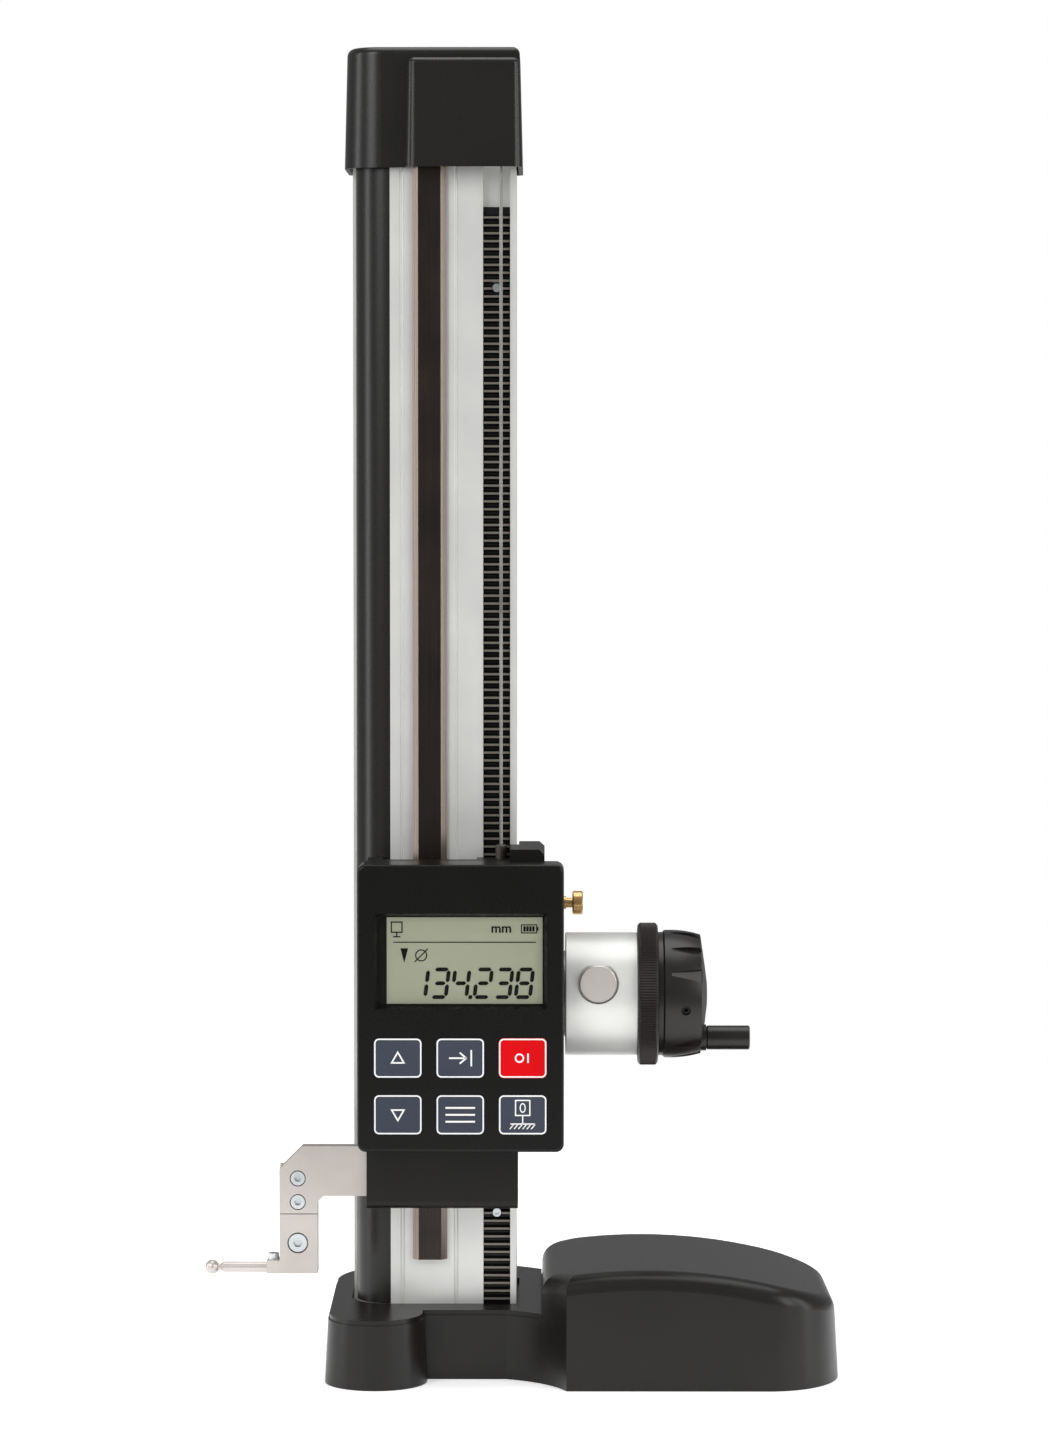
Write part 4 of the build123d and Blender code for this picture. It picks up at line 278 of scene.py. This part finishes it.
FINISHES = {
    "base_paint": finish("base_paint", "131110", "181513", (0.28, 0.38), grain=2200, bump=0.06, gloss=0.36),
    "carriage_paint": finish(
        "carriage_paint", "12100f", "161412", (0.34, 0.44), grain=2600, bump=0.05, gloss=0.25
    ),
    "column_aluminium": finish(
        "column_aluminium", "e6e6e3", "dcddda", (0.34, 0.46), 0.35, bump=0.04, lines=(2200, 2200, 8)
    ),
    "black_plastic": finish(
        "black_plastic", "131110", "171513", (0.26, 0.36), grain=2600, bump=0.05, gloss=0.42
    ),
    "rail_steel": finish(
        "rail_steel", "3a332e", "2c2723", (0.22, 0.36), 0.7, bump=0.05, lines=(1800, 1800, 10)
    ),
    "black_steel": oiled_steel(),
    "screw_steel": finish("screw_steel", "dfe4e6", "c9ced1", (0.22, 0.36), 0.9, grain=3000, bump=0.04),
    "wire_steel": finish("wire_steel", "b9b9b5", "8e8c88", (0.30, 0.45), 0.8, grain=3000, bump=0.04),
    "pulley_plastic": finish("pulley_plastic", "e9e6dc", "dedacd", (0.40, 0.50), grain=1800, bump=0.04),
    "housing_plastic": finish(
        "housing_plastic", "0d0d0c", "10100f", (0.24, 0.32), grain=3200, bump=0.03, gloss=0.22
    ),
    "window_acrylic": clear_window(),
    "lcd_glass": finish("lcd_glass", "b2b69f", "aeb29a", (0.35, 0.42), grain=3000, bump=0.01, gloss=0.2),
    "board_laminate": finish("board_laminate", "2a6e3c", "245f34", (0.40, 0.55), grain=1200, bump=0.08),
    "battery_wrap": finish("battery_wrap", "33477c", "2c3f70", (0.35, 0.45), grain=900, bump=0.05),
    "key_rubber": finish("key_rubber", "8c8c8e", "7f7f82", (0.55, 0.65), grain=1500, bump=0.06),
    "key_slate": finish("key_slate", "3e434f", "393e4b", (0.38, 0.46), grain=3000, bump=0.03, gloss=0.2),
    "key_red": finish("key_red", "d90610", "cf050e", (0.38, 0.46), grain=3000, bump=0.03, gloss=0.1),
    "button_metal": finish("button_metal", "d5cfcb", "cbc5c1", (0.30, 0.38), 0.6, grain=2600, bump=0.03),
    "ring_plastic": finish(
        "ring_plastic", "2a2523", "221e1c", (0.34, 0.44), 0.3, grain=2200, bump=0.04, gloss=0.4
    ),
    "wheel_plastic": finish(
        "wheel_plastic", "151210", "1a1614", (0.28, 0.38), grain=2400, bump=0.05, gloss=0.45
    ),
    "brass_metal": finish("brass_metal", "d8b078", "c49c63", (0.22, 0.34), 0.9, grain=2600, bump=0.04),
    "bracket_steel": finish(
        "bracket_steel", "d2ccc7", "c5beb9", (0.34, 0.46), 0.7, bump=0.05, lines=(16, 1500, 1500)
    ),
}
INK = finish("screen_ink", "0c0d0a", "11120e", (0.35, 0.45), bump=0.01, gloss=0.1)
WHITE_PRINT = finish("white_print", "f2f2f0", "e8e8e6", (0.40, 0.50), bump=0.01)

for node, part in frame["nodes"].items():
    part.data.materials.clear()
    part.data.materials.append(FINISHES[SUBPARTS[node]])

# Painted highlights: bright tooth lands on the rack and bright bevels on the rail, for the light they catch;
# and a dull rope anchor.
# The depths are measured from the foremost face of each piece.

LAND_HIGHLIGHT_DEPTHS = (-0.05 * MM, 0.06 * MM)
BEVEL_HIGHLIGHT_DEPTHS = (0.15 * MM, 3.05 * MM)

rack_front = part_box("gear_rack")[0].y
rack_finish_with_highlight = oiled_steel()
# Painted highlight on the rack's tooth lands, which catch the light from above.
paint_highlight_band(rack_finish_with_highlight, "7d766e", rack_front + LAND_HIGHLIGHT_DEPTHS[0], rack_front + LAND_HIGHLIGHT_DEPTHS[1])
frame["nodes"]["gear_rack"].data.materials[0] = rack_finish_with_highlight
frame["nodes"]["wire_anchor"].data.materials[0] = finish(
    "screw_steel", "5f5b56", "4c4945", (0.35, 0.50), 0.8, grain=3000, bump=0.04
)
rail_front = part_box("guide_rail")[0].y
# Painted highlight on the rail's bevels, which catch the light.
paint_highlight_band(FINISHES["rail_steel"], "8d8178", rail_front + BEVEL_HIGHLIGHT_DEPTHS[0], rail_front + BEVEL_HIGHLIGHT_DEPTHS[1])


# Wire rope: two runs on one line, one held by the stand and one by the carriage

STRANDS = 6
STRAND_RADIUS = 0.31 * MM
STRAND_OFFSET = 0.57 * MM
STRAND_SIDES = 6
TURN_LENGTH = 6 * MM
STEPS_PER_TURN = 7
WELD = 1e-6
LOWER_RUN_LENGTH = 0.116


def rope(name, x, y, low, high, body):
    """A twisted rope run, held by the given body."""
    strands = []
    for strand in range(STRANDS):
        angle = math.tau * strand / STRANDS
        bpy.ops.mesh.primitive_circle_add(
            vertices=STRAND_SIDES, radius=STRAND_RADIUS,
            location=(STRAND_OFFSET * math.cos(angle), STRAND_OFFSET * math.sin(angle), 0),
        )
        wire = bpy.context.object
        apply_place(wire)
        twist = wire.modifiers.new("twist", "SCREW")
        twist.axis = "Z"
        twist.steps = STEPS_PER_TURN
        twist.render_steps = STEPS_PER_TURN
        twist.iterations = round((high - low) / TURN_LENGTH)
        twist.screw_offset = (high - low) / twist.iterations
        apply_modifiers(wire)
        bpy.ops.object.mode_set(mode="EDIT")
        bpy.ops.mesh.select_all(action="SELECT")
        bpy.ops.mesh.remove_doubles(threshold=WELD)
        bpy.ops.mesh.select_all(action="DESELECT")
        bpy.ops.mesh.select_non_manifold()
        bpy.ops.mesh.edge_face_add()
        bpy.ops.mesh.select_all(action="SELECT")
        bpy.ops.mesh.normals_make_consistent(inside=False)
        bpy.ops.object.mode_set(mode="OBJECT")
        strands.append(wire)
    whole = join_pieces(strands)
    whole.location = (x, y, low)
    settle(whole, name, body, FINISHES["wire_steel"], smooth=60)
    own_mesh(whole)
    return whole


wire_low, wire_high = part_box("wire_front")
wire_x = (wire_low.x + wire_high.x) / 2
wire_y = (wire_low.y + wire_high.y) / 2
upper_run = rope(
    "rope_upper", wire_x, wire_y, wire_low.z, wire_high.z, "stand"
)
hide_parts("wire_front")
rope(
    "rope_lower", wire_x, wire_y, wire_low.z, wire_low.z + LOWER_RUN_LENGTH, "carriage",
)


# Fine adjusting ring with its straight knurl

RING_BORE = 28.05 * MM
RIM_ROUND = 1.35 * MM
RIM_SIDE_SHARE, RIM_CROWN_SHARE = 0.45, 0.35
KNURL_STEPS = 320
KNURL_DEPTH = 0.55 * MM
KNURL_BAND = 0.2 * MM


def knurled_ring():
    """The ring turned from its outline, every second line of its rim pressed in."""
    low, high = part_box("fine_adjust_ring")
    centre = (low + high) / 2
    outer = (high.z - low.z) / 2
    side, crown = RIM_SIDE_SHARE * RIM_ROUND, outer - RIM_CROWN_SHARE * RIM_ROUND
    outline = (
        (low.x, RING_BORE), (low.x, outer - RIM_ROUND), (low.x + side, crown), (low.x + RIM_ROUND, outer),
        (high.x - RIM_ROUND, outer), (high.x - side, crown), (high.x, outer - RIM_ROUND), (high.x, RING_BORE),
    )
    clear_selection()
    bpy.ops.mesh.primitive_circle_add(vertices=len(outline))
    ring = bpy.context.object
    for vertex, (x, radius) in zip(ring.data.vertices, outline):
        vertex.co = (x, centre.y, centre.z + radius)
    bpy.ops.object.mode_set(mode="EDIT")
    bpy.ops.mesh.select_all(action="SELECT")
    bpy.ops.mesh.spin(steps=KNURL_STEPS, angle=math.tau, center=centre, axis=(1, 0, 0))
    bpy.ops.mesh.select_all(action="SELECT")
    bpy.ops.mesh.remove_doubles(threshold=WELD)
    bpy.ops.mesh.normals_make_consistent(inside=False)
    bpy.ops.object.mode_set(mode="OBJECT")
    for vertex in ring.data.vertices:
        across = Vector((0, vertex.co.y - centre.y, vertex.co.z - centre.z))
        column = round(math.atan2(across.y, across.z) / math.tau * KNURL_STEPS)
        if across.length > outer - KNURL_BAND and column % 2:
            vertex.co -= across.normalized() * KNURL_DEPTH
    settle(ring, "knurled_ring", "fine_ring", FINISHES["ring_plastic"])
    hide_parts("fine_adjust_ring")


knurled_ring()


# A plain dark sleeve between the wheel's rim and the fine adjusting ring, put in as painted shade for the
# dark gap between them

COLLAR_RADIUS = 30.7 * MM
COLLAR_WALL = 2.4 * MM
COLLAR_GAP = 0.2 * MM


def gap_shade_collar():
    """A plain dark sleeve that turns with the wheel, clear of the ring beside it, standing in for the shade
    in the gap.
    """
    low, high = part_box("fine_adjust_ring")
    start = high.x + COLLAR_GAP
    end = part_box("crank_wheel")[0].x
    clear_selection()
    bpy.ops.mesh.primitive_circle_add(
        vertices=128, radius=COLLAR_RADIUS, fill_type="NGON", rotation=(0, math.pi / 2, 0),
        location=(end, (low.y + high.y) / 2, (low.z + high.z) / 2),
    )
    collar = bpy.context.object
    apply_place(collar)
    bpy.ops.object.mode_set(mode="EDIT")
    bpy.ops.mesh.select_all(action="SELECT")
    bpy.ops.mesh.inset(thickness=COLLAR_WALL)
    bpy.ops.mesh.delete(type="FACE")
    bpy.ops.object.mode_set(mode="OBJECT")
    thicken(collar, end - start)
    settle(collar, "gap_shade_collar", "crank", FINISHES["wheel_plastic"], smooth=40)


gap_shade_collar()


# Screen: frame, digits and signs, lying on the panel's face

SCREEN_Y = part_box("lcd_panel")[0].y
MARK_DEPTH = 0.12 * MM
POINT_SHARE = 0.42


def screen_bar(x, z, length, width, upright=False, pointed=True):
    """One dark segment on the screen."""
    clear_selection()
    bpy.ops.mesh.primitive_cube_add(size=1, location=(0, 0, 0))
    bar = bpy.context.object
    bar.scale = (length, MARK_DEPTH, width)
    apply_place(bar)
    if pointed:
        bevel = bar.modifiers.new("points", "BEVEL")
        bevel.width = width * POINT_SHARE
        bevel.segments = 1
        bevel.limit_method = "WEIGHT"
        weights = bar.data.attributes.new("bevel_weight_edge", "FLOAT", "EDGE")
        for edge in bar.data.edges:
            ends = [bar.data.vertices[index].co for index in edge.vertices]
            weights.data[edge.index].value = 1.0 if abs(ends[0].y - ends[1].y) > MARK_DEPTH / 2 else 0.0
        apply_modifiers(bar)
    if upright:
        bar.rotation_euler = (0, math.pi / 2, 0)
    bar.location = (x, SCREEN_Y - MARK_DEPTH / 2, z)
    apply_place(bar)
    return bar


DIGIT_BARS = {"1": "bc", "2": "abged", "3": "abgcd", "4": "fgbc", "8": "abcdefg"}
DIGIT_START_X = -10.4 * MM
DIGIT_FOOT_Z = 194.6 * MM
DIGIT_WIDTH = 7.0 * MM
DIGIT_HEIGHT = 13.6 * MM
DIGIT_STROKE = 1.9 * MM
DIGIT_PITCH = 10.1 * MM
DIGIT_LEAN = 0.12
UPRIGHT_TRIM = 0.55
LEVEL_TRIM = 0.3
POINT_SIZE = 1.8 * MM
POINT_BACK = 1.1 * MM
POINT_ROOM = 0.9 * MM


def digit(symbol, x):
    """A seven bar digit, whose lower left corner is at x on the reading's foot."""
    half, quarter = DIGIT_HEIGHT / 2, DIGIT_HEIGHT / 4
    middle, right = x + DIGIT_WIDTH / 2, x + DIGIT_WIDTH
    upright = half - DIGIT_STROKE * UPRIGHT_TRIM
    level = DIGIT_WIDTH - DIGIT_STROKE * LEVEL_TRIM
    places = {
        "a": (middle, DIGIT_HEIGHT, level, False), "d": (middle, 0, level, False),
        "g": (middle, half, DIGIT_WIDTH - DIGIT_STROKE, False),
        "b": (right, half + quarter, upright, True), "c": (right, quarter, upright, True),
        "f": (x, half + quarter, upright, True), "e": (x, quarter, upright, True),
    }
    bars = []
    for bar in DIGIT_BARS[symbol]:
        bar_x, rise, length, stands = places[bar]
        bars.append(screen_bar(bar_x, DIGIT_FOOT_Z + rise, length, DIGIT_STROKE, upright=stands))
    return bars


def lean(piece):
    """The digits lean to the right, as a slanted display's do."""
    for vertex in piece.data.vertices:
        vertex.co.x += (vertex.co.z - DIGIT_FOOT_Z) * DIGIT_LEAN


def screen_digits():
    """The reading, in plain numbers."""
    bars = []
    x = DIGIT_START_X
    for symbol in "134":
        bars += digit(symbol, x)
        x += DIGIT_PITCH
    bars.append(screen_bar(x - POINT_BACK, DIGIT_FOOT_Z, POINT_SIZE, POINT_SIZE, pointed=False))
    x += POINT_ROOM
    for symbol in "238":
        bars += digit(symbol, x)
        x += DIGIT_PITCH
    whole = join_pieces(bars)
    lean(whole)
    settle(whole, "screen_digits", "carriage", INK)


screen_digits()


UNIT_PLACE = (28.9 * MM, 226.4 * MM)
UNIT_HEIGHT = 6.6 * MM
UNIT_WEIGHT = 0.12 * MM


def screen_unit():
    """The unit, in small plain letters."""
    clear_selection()
    x, z = UNIT_PLACE
    bpy.ops.object.text_add(location=(x, SCREEN_Y - MARK_DEPTH, z), rotation=(math.pi / 2, 0, 0))
    letters = bpy.context.object
    letters.data.body = "mm"
    letters.data.size = UNIT_HEIGHT
    letters.data.offset = UNIT_WEIGHT
    letters.data.extrude = MARK_DEPTH / 2
    letters.data.resolution_u = 3
    bpy.ops.object.convert(target="MESH")
    settle(bpy.context.object, "screen_unit", "carriage", INK)


screen_unit()


# Sign bars: middle X, middle Z, length along X and width along Z, in millimetres
RULE = ((16, 221.6, 70, 0.5),)
BATTERY_CASE = (
    (47.6, 230.2, 7.8, 0.5), (47.6, 226.2, 7.8, 0.5), (43.9, 228.2, 0.5, 4.0), (51.3, 228.2, 0.5, 4.0),
    (51.8, 228.2, 0.7, 1.8),
)
BATTERY_CELLS = tuple((45.4 + 1.45 * step, 228.2, 1.1, 2.6) for step in range(4))
PROBE_SIGN = (
    (-17.3, 231.5, 5.8, 0.6), (-17.3, 226.5, 5.8, 0.6), (-19.9, 229.0, 0.6, 5.0), (-14.7, 229.0, 0.6, 5.0),
    (-17.3, 225.5, 0.6, 2.4), (-17.3, 224.3, 3.6, 0.6),
)
MARKER_PLACE = (-13.6 * MM, SCREEN_Y - MARK_DEPTH / 2, 216.2 * MM)
MARKER_RADIUS = 2.4 * MM
MARKER_STRETCH = (0.9, 2.0, 1.0)
DIAMETER_PLACE = Vector((-5.3 * MM, SCREEN_Y, 215.1 * MM))
DIAMETER_RADIUS = 2.7 * MM
DIAMETER_LINE = 0.3 * MM
DIAMETER_FLATNESS = 0.4
SLASH_LENGTH = 9.2 * MM
SLASH_WIDTH = 0.55 * MM
SLASH_ANGLE = math.radians(-45)


def marker_sign():
    """A solid triangle that points down."""
    clear_selection()
    bpy.ops.mesh.primitive_cylinder_add(
        vertices=3, radius=MARKER_RADIUS, depth=MARK_DEPTH, location=MARKER_PLACE,
        rotation=(math.pi / 2, math.pi, 0),
    )
    marker = bpy.context.object
    marker.scale = MARKER_STRETCH
    return marker


def diameter_sign():
    """A ring with a line across it."""
    clear_selection()
    bpy.ops.mesh.primitive_torus_add(
        major_segments=32, minor_segments=6, major_radius=DIAMETER_RADIUS, minor_radius=DIAMETER_LINE,
        location=DIAMETER_PLACE, rotation=(math.pi / 2, 0, 0),
    )
    circle = bpy.context.object
    circle.scale = (1, 1, DIAMETER_FLATNESS)
    slash = screen_bar(DIAMETER_PLACE.x, DIAMETER_PLACE.z, SLASH_LENGTH, SLASH_WIDTH, pointed=False)
    to_place = Matrix.Translation(DIAMETER_PLACE)
    slash.data.transform(to_place @ Matrix.Rotation(SLASH_ANGLE, 4, "Y") @ to_place.inverted())
    return [circle, slash]


def screen_signs():
    """Rule, battery, probe sign, marker and diameter sign."""
    marks = []
    for x, z, length, width in RULE + BATTERY_CELLS + BATTERY_CASE + PROBE_SIGN:
        marks.append(screen_bar(x * MM, z * MM, length * MM, width * MM, pointed=False))
    marks.append(marker_sign())
    marks += diameter_sign()
    settle(join_pieces(marks), "screen_signs", "carriage", INK)


screen_signs()


def hollow_out(face, line):
    """A flat face becomes an outline of one line's width, with the depth of print."""
    apply_place(face)
    bpy.ops.object.mode_set(mode="EDIT")
    bpy.ops.mesh.select_all(action="SELECT")
    bpy.ops.mesh.inset(thickness=line)
    bpy.ops.mesh.delete(type="FACE")
    bpy.ops.object.mode_set(mode="OBJECT")
    thicken(face, MARK_DEPTH)
    return face


def flat_frame(x, y, z, width, height, line, corner=0):
    """A four-sided outline printed on the face at y, with round corners if a corner is given."""
    clear_selection()
    bpy.ops.mesh.primitive_plane_add(size=1, location=(x, y - MARK_DEPTH, z), rotation=(math.pi / 2, 0, 0))
    outline = bpy.context.object
    outline.scale = (width, height, 1)
    apply_place(outline)
    if corner:
        bpy.ops.object.mode_set(mode="EDIT")
        bpy.ops.mesh.select_all(action="SELECT")
        bpy.ops.mesh.bevel(offset=corner, segments=6, affect="VERTICES")
        bpy.ops.object.mode_set(mode="OBJECT")
    return hollow_out(outline, line)


BORDER_WIDTH = 2.2 * MM
LEFT_SHADE_EXTRA = 3.6 * MM


def screen_border():
    """Dark border between the window's edge and the screen's picture. The border is the screen's own; its
    extra width at the left is painted shade of the window's shaded left wall.
    """
    low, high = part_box("display_window")
    middle_x, middle_z = (low.x + high.x) / 2, (low.z + high.z) / 2
    border = flat_frame(middle_x, SCREEN_Y, middle_z, high.x - low.x, high.z - low.z, BORDER_WIDTH)
    for vertex in border.data.vertices:
        if abs(vertex.co.x - low.x - BORDER_WIDTH) < BORDER_WIDTH / 4:
            # Painted shade: the left side is widened where the window's left wall lies in shade.
            vertex.co.x += LEFT_SHADE_EXTRA
    settle(border, "screen_border", "carriage", INK)


screen_border()


# Printed signs on the keys, in millimetres from the middle of each key

KEY_OUTLINE = (23.2, 19.2)
KEY_CORNER = 2.4
KEY_LINE = 0.7
TRIANGLE_RADIUS = 4.2
TRIANGLE_LINE = 0.75

# Triangles: Z of the middle, and turn about Y
KEY_TRIANGLES = {"key_up": (-0.6, 0), "key_down": (0.6, math.pi)}
# Boxes: X, Z, width, height and line
KEY_BOXES = {"key_zero": (0, 3.4, 7.6, 8.0, 0.6)}
# Rings: X, Z, radius, line, and height over width
KEY_RINGS = {"key_power": (-1.6, 0, 2.3, 0.75, 1.0), "key_zero": (0, 3.4, 1.5, 0.55, 1.6)}
# Bars: X, Z, length, width, and tilt in degrees
HATCHING = tuple((-5.4 + 2.1 * step, -5.9, 0.5, 2.9, 40) for step in range(6))
KEY_BARS = {
    "key_menu": ((0, -3.4, 14.5, 0.9, 0), (0, 0, 14.5, 0.9, 0), (0, 3.4, 14.5, 0.9, 0)),
    "key_power": ((2.6, 0, 0.8, 4.6, 0),),
    "key_send": (
        (-1.5, 0, 8.0, 0.8, 0), (1.4, 1.3, 4.4, 0.8, 40), (1.4, -1.3, 4.4, 0.8, -40), (5.4, 0, 0.8, 8.0, 0),
    ),
    "key_zero": ((0, -2.4, 0.6, 4.0, 0), (0, -4.5, 12.0, 0.6, 0)) + HATCHING,
}


def key_bar(x, y, z, length, width, angle):
    """A printed line on the face at y, turned about its own middle."""
    clear_selection()
    bpy.ops.mesh.primitive_cube_add(size=1, location=(x, y - MARK_DEPTH / 2, z), rotation=(0, angle, 0))
    bar = bpy.context.object
    bar.scale = (length, MARK_DEPTH, width)
    return bar


def key_triangle(x, y, z, turn):
    """A printed triangle outline on the face at y."""
    clear_selection()
    bpy.ops.mesh.primitive_circle_add(
        vertices=3, radius=TRIANGLE_RADIUS * MM, fill_type="NGON", location=(x, y - MARK_DEPTH, z),
        rotation=(math.pi / 2, turn, 0),
    )
    return hollow_out(bpy.context.object, TRIANGLE_LINE * MM)


def key_ring(x, y, z, radius, line, tallness):
    """A printed ring on the face at y, round or tall."""
    clear_selection()
    bpy.ops.mesh.primitive_circle_add(
        vertices=28, radius=radius, fill_type="NGON", location=(x, y - MARK_DEPTH, z),
        rotation=(math.pi / 2, 0, 0),
    )
    ring = bpy.context.object
    ring.scale = (1, tallness, 1)
    return hollow_out(ring, line)


def key_signs(key):
    """The outline and sign of one key."""
    low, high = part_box(key)
    x, y, z = (low.x + high.x) / 2, low.y, (low.z + high.z) / 2
    width, height = KEY_OUTLINE
    marks = [flat_frame(x, y, z, width * MM, height * MM, KEY_LINE * MM, KEY_CORNER * MM)]
    if key in KEY_TRIANGLES:
        rise, turn = KEY_TRIANGLES[key]
        marks.append(key_triangle(x, y, z + rise * MM, turn))
    if key in KEY_BOXES:
        aside, rise, width, height, line = KEY_BOXES[key]
        marks.append(flat_frame(x + aside * MM, y, z + rise * MM, width * MM, height * MM, line * MM))
    if key in KEY_RINGS:
        aside, rise, radius, line, tallness = KEY_RINGS[key]
        marks.append(key_ring(x + aside * MM, y, z + rise * MM, radius * MM, line * MM, tallness))
    for aside, rise, length, width, tilt in KEY_BARS.get(key, ()):
        marks.append(
            key_bar(x + aside * MM, y, z + rise * MM, length * MM, width * MM, math.radians(tilt))
        )
    settle(join_pieces(marks), key + "_print", key, WHITE_PRINT)


for key_node in ("key_up", "key_send", "key_power", "key_down", "key_menu", "key_zero"):
    key_signs(key_node)


# Studio: floor, light and camera, in metres

FLOOR_SIZE = 3
FLOOR_DROP = 0.2 * MM
FLOOR_GLOW = 0.45
FADE_START, FADE_END = 0.45, 1.1


def studio_floor():
    """A plain pale floor under the object, which fades into the backdrop."""
    clear_selection()
    bpy.ops.mesh.primitive_plane_add(size=FLOOR_SIZE, location=(0, 0, -FLOOR_DROP))
    floor = bpy.context.object
    floor.name = "floor"
    material = finish("floor_white", "ffffff", "fbfbfb", (0.7, 0.8), bump=0.0)
    shader = material.node_tree.nodes["Principled BSDF"]
    shader.inputs["Emission Color"].default_value = (1, 1, 1, 1)
    shader.inputs["Emission Strength"].default_value = FLOOR_GLOW
    tree = material.node_tree
    place = tree.nodes.new("ShaderNodeTexCoord")
    far = tree.nodes.new("ShaderNodeVectorMath")
    far.operation = "LENGTH"
    fade = tree.nodes.new("ShaderNodeMapRange")
    fade.inputs["From Min"].default_value = FADE_START
    fade.inputs["From Max"].default_value = FADE_END
    fade.inputs["To Min"].default_value = 1.0
    fade.inputs["To Max"].default_value = 0.0
    wire_up(tree, place, "Object", far, 0)
    wire_up(tree, far, "Value", fade, "Value")
    wire_up(tree, fade, "Result", shader, "Alpha")
    floor.data.materials.append(material)


BODY_HEART = (0, 0, 0.3)
COLUMN_HEART = (0, 0, 0.35)
STRIP_SIZE = (0.35, 1.5)
STRIP_POWER = 7


def softbox(name, place, aim, size, power):
    """A rectangular soft light aimed at a point."""
    light = bpy.data.lights.new(name, "AREA")
    light.shape = "RECTANGLE"
    light.size, light.size_y = size
    light.energy = power
    lamp = bpy.data.objects.new(name, light)
    bpy.context.scene.collection.objects.link(lamp)
    lamp.location = place
    lamp.rotation_euler = (Vector(aim) - Vector(place)).to_track_quat("-Z", "Y").to_euler()


ROOM_STRENGTH = 0.30
PAPER_STRENGTH = 1.0


def studio_backdrop():
    """White behind the object, and a dimmer room that lights it."""
    world = bpy.data.worlds.new("studio")
    world.use_nodes = True
    tree = world.node_tree
    room = tree.nodes["Background"]
    room.inputs["Color"].default_value = (1, 1, 1, 1)
    room.inputs["Strength"].default_value = ROOM_STRENGTH
    paper = tree.nodes.new("ShaderNodeBackground")
    paper.inputs["Color"].default_value = (1, 1, 1, 1)
    paper.inputs["Strength"].default_value = PAPER_STRENGTH
    rays = tree.nodes.new("ShaderNodeLightPath")
    both = tree.nodes.new("ShaderNodeMixShader")
    tree.links.new(rays.outputs["Is Camera Ray"], both.inputs["Fac"])
    tree.links.new(room.outputs["Background"], both.inputs[1])
    tree.links.new(paper.outputs["Background"], both.inputs[2])
    tree.links.new(both.outputs["Shader"], tree.nodes["World Output"].inputs["Surface"])
    bpy.context.scene.world = world


CAMERA_PLACE = (0.0554, -2.386, 0.470)
CAMERA_DOWN = 2.32
CAMERA_TURN = 0.256
FRAME_SHIFT = -0.07
FILM_HEIGHT = 36
LENS_LENGTH = 116.45


def studio_camera():
    """The photograph's viewing angle."""
    data = bpy.data.cameras.new("camera")
    data.sensor_fit = "VERTICAL"
    data.sensor_height = FILM_HEIGHT
    data.lens = LENS_LENGTH
    data.shift_y = FRAME_SHIFT
    camera = bpy.data.objects.new("camera", data)
    bpy.context.scene.collection.objects.link(camera)
    camera.location = CAMERA_PLACE
    camera.rotation_euler = (math.radians(90 - CAMERA_DOWN), 0, math.radians(CAMERA_TURN))
    bpy.context.scene.camera = camera


studio_floor()
softbox("key_light", place=(-1.3, -1.9, 1.5), aim=BODY_HEART, size=(1.0, 1.6), power=25)
softbox("fill_light", place=(1.7, -1.5, 1.1), aim=BODY_HEART, size=(0.9, 1.6), power=17)
softbox("top_light", place=(0.1, 0.2, 2.2), aim=BODY_HEART, size=(1.6, 1.6), power=20)
softbox("left_strip", place=(-1.5, -0.25, 0.6), aim=COLUMN_HEART, size=STRIP_SIZE, power=STRIP_POWER)
softbox("right_strip", place=(1.6, -0.35, 0.6), aim=COLUMN_HEART, size=STRIP_SIZE, power=STRIP_POWER)
studio_backdrop()
bpy.context.scene.view_settings.view_transform = "Standard"
studio_camera()
